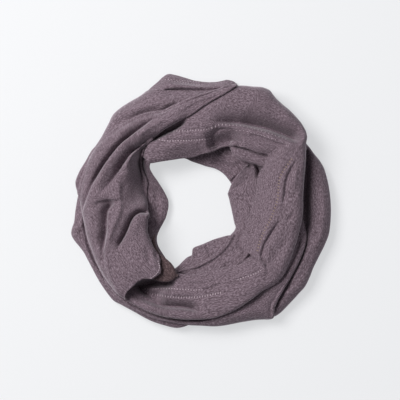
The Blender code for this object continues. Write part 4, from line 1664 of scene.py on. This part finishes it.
@dataclass
class HemmedPanel(Layers):
    """The big hemmed panel, and the rows of stitches that hold its hem."""

    front_hem_panel_cut: Cut = (0.089, 0.415)

    def stretches(self) -> Sequence[Stretch]:
        """The stretches, lowest first."""
        return (self.front_hem_panel(),)

    def sewing(self) -> Sequence[Sewing]:
        """The rows of stitches that show on them."""
        return (
            Sewing("panel_stitches", "front_hem_panel", HEM_ROWS_BACK + HEM_ROWS_FRONT, PALE_THREAD),
            Sewing("right_stitches", "front_hem_panel", HEM_ROWS_RIGHT, TAN_THREAD),
        )

    def front_hem_panel(self) -> Stretch:
        """The big hemmed panel: up the right side, along the front and round the back, its hem towards the hole.

        Returns:
            The stretch, not yet laid.
        """
        return Stretch(
            "front_hem_cloth", "front_hem_panel", flat=self.front_hem_panel_cut,
            inner=edge(
                (222, 70, 29), (232, 67), (240, 64), (250, 64), (260, 64, 30), (270, 64, 29.5), (278, 62.5),
                (289, 62), (299, 65, 30), (308, 69.6, 31), (314, 72.4, 32), (318.4, 74.3, 33), (320.6, 75.5),
                (321.5, 76, 33, 1.0), (322.2, 75.3, 33, 2.2), (322.7, 72.6, 33, 1.9), (323.2, 68, 33, 0.8),
                (323.8, 63.9, 33, -0.7), (325.2, 61, 32), (330, 58.5, 31), (339, 56.7), (349, 57), (358, 58.6),
                (368, 62, 32), (375, 66, 33), (382, 69.7, 34), (386, 73), (389, 75.6, 34.5), (391.4, 82, 35),
                (394, 90, 36), (396.2, 94.2, 37), (398.4, 91.8, 37.5), (402, 87.4, 38), (408, 83.5), (412.4, 80.6),
                (417, 78.2), (420.6, 75, 37), (424, 71.6, 36), (431, 63.2, 33), (441, 57.3, 29), (450, 53.8, 27),
                (457.5, 53.4), (466, 53.9, 28), (475, 55.7, 31), (482.5, 58.5, 33), (489, 61.7, 32), (492, 64, 31),
            ),
            outer=edge(
                (222, 107, 28), (232, 108.6), (236, 109, 26), (242, 109, 27), (251, 108.8, 28), (261, 108.2, 29),
                (270, 107.8), (280, 108.3), (289, 107.4), (297, 106.6), (303, 105.8, 28), (310, 105.6),
                (316, 107.8, 27), (321.4, 109.8), (325, 110), (330, 109), (336, 108.6, 28), (342, 108), (350, 108.6),
                (360, 110.2), (366.6, 111), (372, 113.3), (377, 116.6, 27), (381, 120.4, 26), (385, 124.8, 25),
                (388, 128.4, 24), (390.7, 132.2, 22), (393, 136.6, 20), (396, 139, 18), (400, 140, 16),
                (405, 140, 15), (410, 139.6, 14), (413, 140.2, 13), (415, 141.5, 12), (417.4, 143.4, 11),
                (420, 142.4, 12), (424, 138.3, 14), (429, 134.2, 15), (431, 131.6, 17), (434, 128, 21),
                (438, 119.5, 26), (443, 112.5, 30), (449, 106, 32), (456, 99, 33), (463, 93, 31), (470, 88),
                (477, 83), (484, 79), (490, 74), (492, 72),
            ),
            crest=crest(
                (222, 0.5, 30), (232, 0.5, 32), (240, 0.5, 34), (250, 0.55, 36), (262, 0.70, 36.5), (276, 0.78, 36.5),
                (289, 0.78, 37), (302, 0.76, 38), (316, 0.6, 38.5), (324, 0.55, 39), (335, 0.56, 41), (345, 0.58, 44),
                (355, 0.58, 46.5), (370, 0.58, 47.5), (385, 0.55, 47.5), (396, 0.5, 47), (408, 0.55, 46.5),
                (420, 0.6, 46), (430, 0.55, 45), (440, 0.5, 43), (455, 0.45, 41), (470, 0.4, 39), (485, 0.4, 36),
                (492, 0.4, 33),
            ),
            creases=BACK_HOLLOW + RIGHT_SLACK + MOUTH + FRONT_HOLLOW + DIVE, inner_kind=EdgeKind.HEM, fullness=4.0,
            outer_roll=2.2, hem_roll=1.7, rows=HEM_ROWS_BACK + HEM_ROWS_RIGHT + HEM_ROWS_FRONT, columns=88,
            spacing=1.4, ripple=0.4, seed=81, rests_on=("inner_turn_cloth", "second_turn_cloth", "lower_turn_cloth"),
        )


# The valleys that run round from the pinch at the back.
VALLEYS = creases(
    (((110.8, 80.2), (115.7, 80.6), (120.1, 81.6), (124.1, 82.1), (129, 82.3), (133.9, 82.7), (138.6, 82.6),
        (143.3, 82.3), (150.8, 82.5), (157.2, 84), (163.2, 86.7), (168.3, 90.5),
        (172.8, 95.4)), -8.5, 0.9, 4.2, 0.08, 0.30, 1.15),
    (((129, 82.3), (133.9, 82.7), (138.6, 82.6), (143.3, 82.3), (150.8, 82.5),
        (157.2, 84)), -9.0, 0.8, 5.0, 0.22, 0.36, 1.35),
    (((110.4, 100.3), (114.6, 98.4), (118.3, 97.1), (123, 95.4), (128.1, 94)), -1.6, 1.0, 1.2, 0.2, 0.4),
    (((95.8, 99.5), (91.1, 102.5), (85.7, 107.8), (79.9, 114.3)), -1.2, 1.4, 1.8, 0.3, 0.3),
    (((94.4, 104.3), (99, 101.8), (104, 99.4), (109.1, 97.9)), -1.2, 1.6, 1.6, 0.3, 0.3),
    (((103.3, 95.6), (110.1, 93.2), (117.1, 92.1), (123.3, 91), (129.6, 90.9)), 2.4, 3.0, 3.0, 0.3, 0.3),
    (((116.1, 104.7), (121.2, 104.1), (126.4, 104.4), (131.7, 105.2), (137.3, 106.2)), 1.6, 3.0, 3.0, 0.3, 0.3),
    (((149, 93.3), (155.6, 94.4), (161.8, 95.8), (167.7, 98.3)), 1.6, 3.0, 3.4, 0.3, 0.3),
    (((111.1, 98.6), (114.3, 98.3), (117.8, 97.4), (121.5, 96.6), (128.8, 96.3), (136.4, 97.2), (143.9, 97.5),
        (151.8, 98.5), (158.9, 100.1), (165.3, 102.6), (170.6, 104.6), (176.3, 107.2),
        (181, 109.6)), -7.5, 0.9, 5.0, 0.10, 0.06, 1.1),
    (((117.8, 97.4), (121.5, 96.6), (128.8, 96.3), (136.4, 97.2), (143.9, 97.5), (151.8, 98.5), (158.9, 100.1),
        (165.3, 102.6), (170.6, 104.6)), -6.5, 0.8, 2.2, 0.25, 0.30, 1.5),
)
# The hollow inside the turn of the hem, and the slope that falls to it.
HEM_SLOPE = creases(
    (((132.5, 81.4), (138.3, 79.6), (144, 76.6), (149.7, 73.4), (156.3, 72.1)), 3.6, 3.6, 6.0, 0.2, 0.3),
    (((142, 69.8), (151, 64), (161.3, 59.1), (170.7, 55.7), (181.1, 53)), -11.0, 12.0, 13.0, 0.45, 0.34, 1.6),
    (((131.7, 73.7), (137.1, 66.2), (143, 58.2), (150.9, 51.5), (161.3, 46.9),
        (173.6, 44.9)), -14.0, 8.0, 7.5, 0.10, 0.30, 1.5),
    (((125.7, 78.8), (130.1, 75.8), (134.7, 71.7), (138.6, 68), (142.3, 63.7), (146, 59.1), (152.5, 54.1),
        (160.5, 50.9)), -16.0, 8.0, 6.0, 0.08, 0.40, 1.6),
    (((132.5, 81.4), (139, 80.8), (145, 79.3), (150.7, 78.6)), 2.2, 2.4, 3.0, 0.2, 0.3),
    (((156.1, 76.6), (162.1, 74.6), (168.1, 72.6), (173.4, 70.1)), 2.6, 1.2, 6.0, 0.25, 0.2, 1.4),
)
# The star of folds where the sweep is pinched.
STAR = creases(
    (((175.6, 96.8), (174.7, 92.4), (173.8, 87.5), (173, 82.6), (172.3, 77.7),
        (171.4, 71.3)), -3.4, 0.9, 2.6, 0.15, 0.12),
    (((173.1, 75.1), (176.9, 81.1), (181.4, 83.8), (187.4, 85.3), (192.6, 86.9), (197.4, 90.1), (201.9, 94),
        (206.7, 100.1)), -15.0, 1.0, 6.0, 0.14, 0.30, 1.3),
    (((174.9, 78.9), (179.3, 79.4), (184.3, 80.2), (189.1, 82)), -2.2, 1.2, 1.4, 0.2, 0.4),
    (((171.7, 71.8), (176.8, 70.7), (182.4, 72.5), (188.3, 76.4), (194.2, 81.5), (199.6, 86.6),
        (205.2, 91.7)), 3.2, 2.8, 2.8, 0.08, 0.3),
    (((182.7, 42.4), (181.4, 50), (183.1, 54.7), (186.3, 58.6), (190.6, 62.1), (195.5, 65.8), (200.1, 70.9),
        (203.8, 76.9), (207.4, 84)), -13.0, 1.0, 3.0, 0.08, 0.20, 1.3),
    (((189.3, 49.6), (194.5, 55.8), (201.3, 63.3)), 1.4, 4.0, 4.0, 0.3, 0.3),
    (((184.2, 41.1), (191.7, 44.3), (201.1, 47.2), (210.2, 49.7)), -1.6, 1.2, 1.6, 0.2, 0.3),
    (((198.1, 93.2), (203.8, 96.8), (209.3, 100.2), (213.8, 102.3)), -2.2, 2.2, 2.0, 0.3, 0.4),
    (((202.6, 91), (208.2, 95.3), (213.7, 99.2), (219.1, 103.1), (223.7, 105.7), (228.7, 109.1),
        (233.3, 112.2)), 2.2, 2.4, 2.6, 0.2, 0.15),
    (((217.9, 57), (227, 61.6), (232.5, 68.1)), -1.6, 3.0, 3.5, 0.3, 0.3),
    (((226.5, 53.1), (230.9, 54.7), (234.3, 56.6)), -3.0, 1.6, 2.2, 0.2, 0.3),
)


@dataclass
class Sweep(Layers):
    """The broad top stretch down the left, and its turned-under end."""

    tip_fold_cut: Cut = (0.040, 0.050)
    left_sweep_cut: Cut = (0.112, 0.238)

    def stretches(self) -> Sequence[Stretch]:
        """The stretches, lowest first."""
        return (self.tip_fold(), self.left_sweep())

    def sewing(self) -> Sequence[Sewing]:
        """The rows of stitches that show on them."""
        return (Sewing("tip_stitches", "left_sweep", TIP_ROWS, PALE_THREAD),)

    def tip_fold(self) -> Stretch:
        """The turned-under end of the left sweep, its wrong side showing.

        Returns:
            The stretch, not yet laid.
        """
        return Stretch(
            "tip_fold_cloth", "tip_fold", flat=self.tip_fold_cut,
            inner=edge(
                (212, 43, 25), (218, 46.5, 27), (226, 50, 29), (234, 52.6, 31), (241.1, 53.6, 33), (247.3, 55.2, 34),
                (251, 57.2), (253.4, 59.4), (255.2, 61.8), (256.4, 64.4, 33),
            ),
            outer=edge(
                (212, 64, 28, 10), (226, 74, 31, 9), (234.5, 77.6, 33, 6), (243, 76.6, 34, 2), (247.5, 75.4, 34, 1),
                (251, 74, 34, 0.4), (253.4, 72.2), (255.2, 69.8), (256.4, 66.8, 33),
            ),
            crest=crest((212, 0.5, 28), (226, 0.5, 33), (243, 0.5, 37), (252, 0.5, 37.5), (256.4, 0.5, 35.5)),
            inner_kind=EdgeKind.FOLD, end_kind=EdgeKind.FOLD, inner_roll=1.4, outer_roll=1.4, end_roll=1.4,
            columns=26, spacing=1.0, ripple=0.15, seed=91, finish=SHADED_JERSEY, rests_on=("front_hem_cloth",),
        )

    def left_sweep(self) -> Stretch:
        """The broad top stretch down the left, with the deep valleys at the back.

        Returns:
            The stretch, not yet laid.
        """
        return Stretch(
            "left_sweep_cloth", "left_sweep", flat=self.left_sweep_cut,
            inner=edge(
                (70.5, 131.5, 15), (72, 126.5, 18.5), (75, 119, 25), (79.5, 111, 31), (85, 102.4, 36),
                (90, 95.6, 38.5), (95.8, 91, 39), (102.8, 87.2), (108.6, 85), (115, 82.4, 36), (120, 80.6, 29),
                (124.3, 79.6, 23), (127.5, 78, 19), (130.6, 75.6, 16), (134.6, 71.4, 14), (139.3, 66, 13),
                (142.4, 60.4), (145.4, 54.8, 15), (150, 51.8, 17), (155.5, 50.2, 19), (164, 47, 20.5),
                (173, 44.6, 21), (178, 43.9, 22), (182, 42.9, 27), (185, 42.0, 33), (188.5, 42.8, 35),
                (191, 44.4, 36), (196, 45.4), (206, 48.4, 37), (214, 49.6, 35), (222, 51.5, 36), (228, 53.2, 37),
                (232, 54.8), (235, 56.3, 38),
            ),
            outer=edge(
                (70.5, 133.6, 14), (72, 131.6, 16), (75, 127.6, 20), (78, 124, 23), (82, 119.2, 25), (87, 115, 26),
                (91, 111.6, 27), (95.3, 108), (102, 104.6, 28), (106.5, 103), (113.2, 105.9, 27), (118.7, 107.6, 26),
                (124.6, 108.8), (130.6, 110.4, 25), (136.8, 112.4, 24), (143.5, 114.4, 22), (149.2, 115.2, 20),
                (155, 115, 19), (161.6, 114), (166.8, 114, 18), (172, 113.6), (176, 112), (180, 110.4), (184, 109),
                (188, 108.2), (195, 108), (200, 107.4, 20), (207, 108, 21), (211, 108.6, 22), (215, 109, 23),
                (219, 109.7, 24), (223, 110, 26), (226.6, 110.6, 28), (229, 110.8, 30), (235, 109.4, 33, -0.4),
            ),
            crest=crest(
                (70.5, 0.5, 17), (75, 0.5, 25.5), (79.5, 0.5, 32.5), (85, 0.45, 38), (92, 0.4, 42.5),
                (100, 0.4, 46.5), (110, 0.35, 47.5), (125, 0.35, 47.5), (138, 0.4, 47), (150, 0.5, 46.5),
                (164, 0.5, 46), (180, 0.5, 46), (196, 0.45, 46.5), (206, 0.38, 47), (216, 0.34, 47.5),
                (225, 0.34, 47), (235, 0.4, 44.5),
            ),
            creases=VALLEYS + HEM_SLOPE + STAR, inner_kind=EdgeKind.FOLD, end_kind=EdgeKind.FOLD, inner_roll=2.2,
            fullness=2.8, outer_roll=2.6, end_roll=2.2,
            bow=(
                (0, 0.4), (0.073, 2.2), (0.124, 5.2), (0.217, 7.0), (0.40, 3.6), (0.427, 1.4), (0.48, -1.6),
                (0.597, -3.4), (0.72, -3.7), (0.855, -4.0), (0.936, -3.4), (1, -1.5),
            ),
            bow_over=16, end_taper=0.8,
            inner_ease=((70, 0.12), (93, 0.15), (104, 0.6), (120, 0.25), (150, 0.25), (172, 0.7), (186, 1)),
            columns=92, seed=101,
            rests_on=("front_hem_cloth", "middle_turn_cloth", "hem_corner_cloth", "tip_fold_cloth"),
        )


# ------------ the hidden layers


@dataclass
class HiddenLayers:
    """The layers inside the ring, as one rounded solid."""

    around: int = 300
    across: int = 40
    gap: float = 1.6
    rim: float = 6.0
    lowest: float = 2.0
    highest: float = 40.0
    foot: float = 1.0
    off_table: float = 0.15
    folds_below: float = 0.5
    mean_radius: float = 90.0
    widened: int = 3

    def _ceiling(self, stretches: Sequence[Stretch]) -> Pile:
        """The underside of the stretches, as the lowest cloth over each cell and its neighbours a few cells round.

        Args:
            stretches: all that is laid.

        Returns:
            A pile whose smoothed height is that underside.
        """
        room = Pile()
        room.top[:] = 1000.0  # open sky
        for stretch in stretches:
            points = stretch.fabric.points
            column, row = (np.rint(c).astype(int) for c in room.cells(points[..., 0], points[..., 1]))
            np.minimum.at(room.top, (column, row), points[..., 2] - stretch.thickness)
        wide = room.top.copy()
        for _ in range(self.widened):
            step = wide.copy()
            for shift in Pile.SIDES:
                step = np.minimum(step, np.roll(wide, shift, axis=(0, 1)))
            wide = step
        room.smooth = wide
        return room

    def build(self, stretches: Sequence[Stretch]) -> bpy.types.Object:
        """Fills the room under the stretches with one closed ring of cloth.

        Its section is a function of the angle and of the share of the way out: on top it follows the underside
        of the stretches, less a gap, and rounds down at both edges as a quarter circle; underneath it lies on
        the table in seven shallow folds.

        Args:
            stretches: all that is laid.

        Returns:
            The object.
        """
        angle = np.linspace(0, 360, self.around + 1)[:-1]
        bounds = fill_bounds(angle)
        share = np.linspace(0, 1, self.across)
        wide = bounds[:, 1:] - bounds[:, :1]
        radius = bounds[:, :1] + wide * share
        x, y = polar_xy(angle[:, None], radius)
        top = np.clip(self._ceiling(stretches).under(x, y) - self.gap, self.lowest, self.highest)
        from_edge = np.clip(np.minimum(share, 1 - share) * wide / self.rim, 0, 1)
        top = self.foot + (top - self.foot) * np.sqrt(np.clip(1 - (1 - from_edge) ** 2, 0, 1))
        upper = np.stack([x, y, top], axis=-1)
        lower = upper[:, ::-1].copy()
        waves = np.abs(np.sin(np.linspace(0, 7 * np.pi, self.across)))
        lower[..., 2] = self.off_table + self.folds_below * waves
        ring = np.concatenate([upper, lower], axis=1)
        rows, columns = ring.shape[:2]
        index = np.arange(rows * columns).reshape(rows, columns)
        ahead, beside = np.roll(index, -1, axis=0), np.roll(index, -1, axis=1)
        faces = np.stack([index, beside, np.roll(ahead, -1, axis=1), ahead], axis=-1).reshape(-1, 4)
        made = mesh_object("hidden_layers_cloth", ring, faces, SHADED_JERSEY)
        along = np.broadcast_to((np.radians(angle) * self.mean_radius * MM)[:, None], (rows, columns))
        map_cloth(made, along, np.concatenate([radius, radius[:, ::-1]], axis=1) * MM)
        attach(made, "root")
        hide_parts("hidden_layers")
        log.info("hidden layers: %d points", rows * columns)
        return made


def fill_bounds(angle: Array) -> Array:
    """Inner and outer radius of the hidden layers, round the closed ring.

    Args:
        angle: degrees anticlockwise from +X.

    Returns:
        The two radii in millimetres, one row for each angle.
    """
    rows = (
        (0, 56, 129), (22, 56, 126), (34, 58, 118), (47, 59, 124), (62, 59, 122), (85, 60, 114), (108, 70, 113),
        (126, 76, 110), (140, 60, 104), (155, 40, 104), (178, 34, 106), (200, 41, 107), (220, 56, 108),
        (243, 68, 106), (268, 59, 104), (290, 51, 104), (312, 52, 119), (332, 59, 126), (348, 61, 129), (360, 56, 129),
    )
    return read_table(rows, angle)


# ------------ the studio


@dataclass
class Studio:
    """A pale floor, soft light from the left, and the camera straight above the ring."""

    aim: Point = (-1.25, 0.95)
    height: float = 1.6
    field: float = 0.4
    sensor: float = 36.0
    object_level: float = 0.02
    floor_shown: Colour = (0.856, 0.865, 0.882, 1.0)
    floor_glow: float = 0.66
    floor_half: float = 3.0

    def floor(self) -> bpy.types.Object:
        """The floor: pale, and paler still to the camera, with the ring's soft shadow kept on it.

        Returns:
            The floor's object.
        """
        half = self.floor_half
        mesh = bpy.data.meshes.new("floor")
        mesh.from_pydata([(-half, -half, 0), (half, -half, 0), (half, half, 0), (-half, half, 0)], [], [(0, 1, 2, 3)])
        paint, tree, shader = new_paint("pale_floor")
        set_inputs(shader, Base_Color=self.floor_shown, Roughness=0.95, Specular_IOR_Level=0.0)
        glow = tree.nodes.new("ShaderNodeEmission")
        set_inputs(glow, Color=self.floor_shown)
        path = tree.nodes.new("ShaderNodeLightPath")
        seen = math_node(tree, "MAXIMUM", path.outputs["Is Camera Ray"], path.outputs["Is Glossy Ray"])
        seen = math_node(tree, "MAXIMUM", seen, path.outputs["Is Transmission Ray"])
        blend = tree.nodes.new("ShaderNodeMixShader")
        tree.links.new(math_node(tree, "MULTIPLY", seen, self.floor_glow), blend.inputs[0])
        tree.links.new(shader.outputs[0], blend.inputs[1])
        tree.links.new(glow.outputs[0], blend.inputs[2])
        tree.links.new(blend.outputs[0], tree.nodes["Material Output"].inputs["Surface"])
        mesh.materials.append(paint)
        made = add_object("floor", mesh)
        return made

    def lamp(self, name: str, place: Sequence[float], size: float, power: float, tone: Sequence[float]) -> None:
        """A square soft box aimed at the ring.

        Args:
            name: of the lamp.
            place: where it hangs, in metres.
            size: its side, in metres.
            power: in watts.
            tone: its colour.
        """
        light = bpy.data.lights.new(name, "AREA")
        light.shape = "SQUARE"
        light.size = size
        light.energy = power
        light.color = tone
        made = add_object(name, light)
        made.location = place
        ray = Vector((0, 0, self.object_level)) - Vector(place)
        made.rotation_euler = ray.to_track_quat("-Z", "Y").to_euler()

    def camera(self) -> None:
        """The camera, looking straight down with the back of the ring at the top of its frame."""
        data = bpy.data.cameras.new("camera")
        data.sensor_width = self.sensor
        data.lens = self.sensor * (self.height - self.object_level) / self.field
        data.clip_start = 0.05
        made = add_object("camera", data)
        made.location = (self.aim[0] * MM, self.aim[1] * MM, self.height)
        bpy.context.scene.camera = made

    def world(self) -> None:
        """An even pale surround."""
        world = bpy.data.worlds.new("surround")
        world.use_nodes = True
        set_inputs(world.node_tree.nodes["Background"], Color=(0.95, 0.97, 1.0, 1), Strength=0.24)
        bpy.context.scene.world = world

    def build(self) -> None:
        """Sets the whole studio up."""
        bpy.context.scene.view_settings.view_transform = "Standard"
        self.floor()
        self.world()
        self.lamp("key", (-0.870, 0.560, 1.474), size=0.80, power=36.0, tone=(1.0, 0.99, 0.98))
        self.lamp("fill", (1.25, -1.05, 0.75), size=1.0, power=1.6, tone=(0.98, 0.985, 1.0))
        self.camera()


# ------------ the garment


def main() -> None:
    """Builds the garment from the lowest layers up, then the studio, and notes the sizes."""
    pile = Pile()
    laid: list[Stretch] = []
    for layers in (LowTurns(), TuckedHems(), HemmedPanel(), Sweep()):
        laid += layers.build(pile)
    HiddenLayers().build(laid)
    Studio().build()


if __name__ == "__main__":
    main()
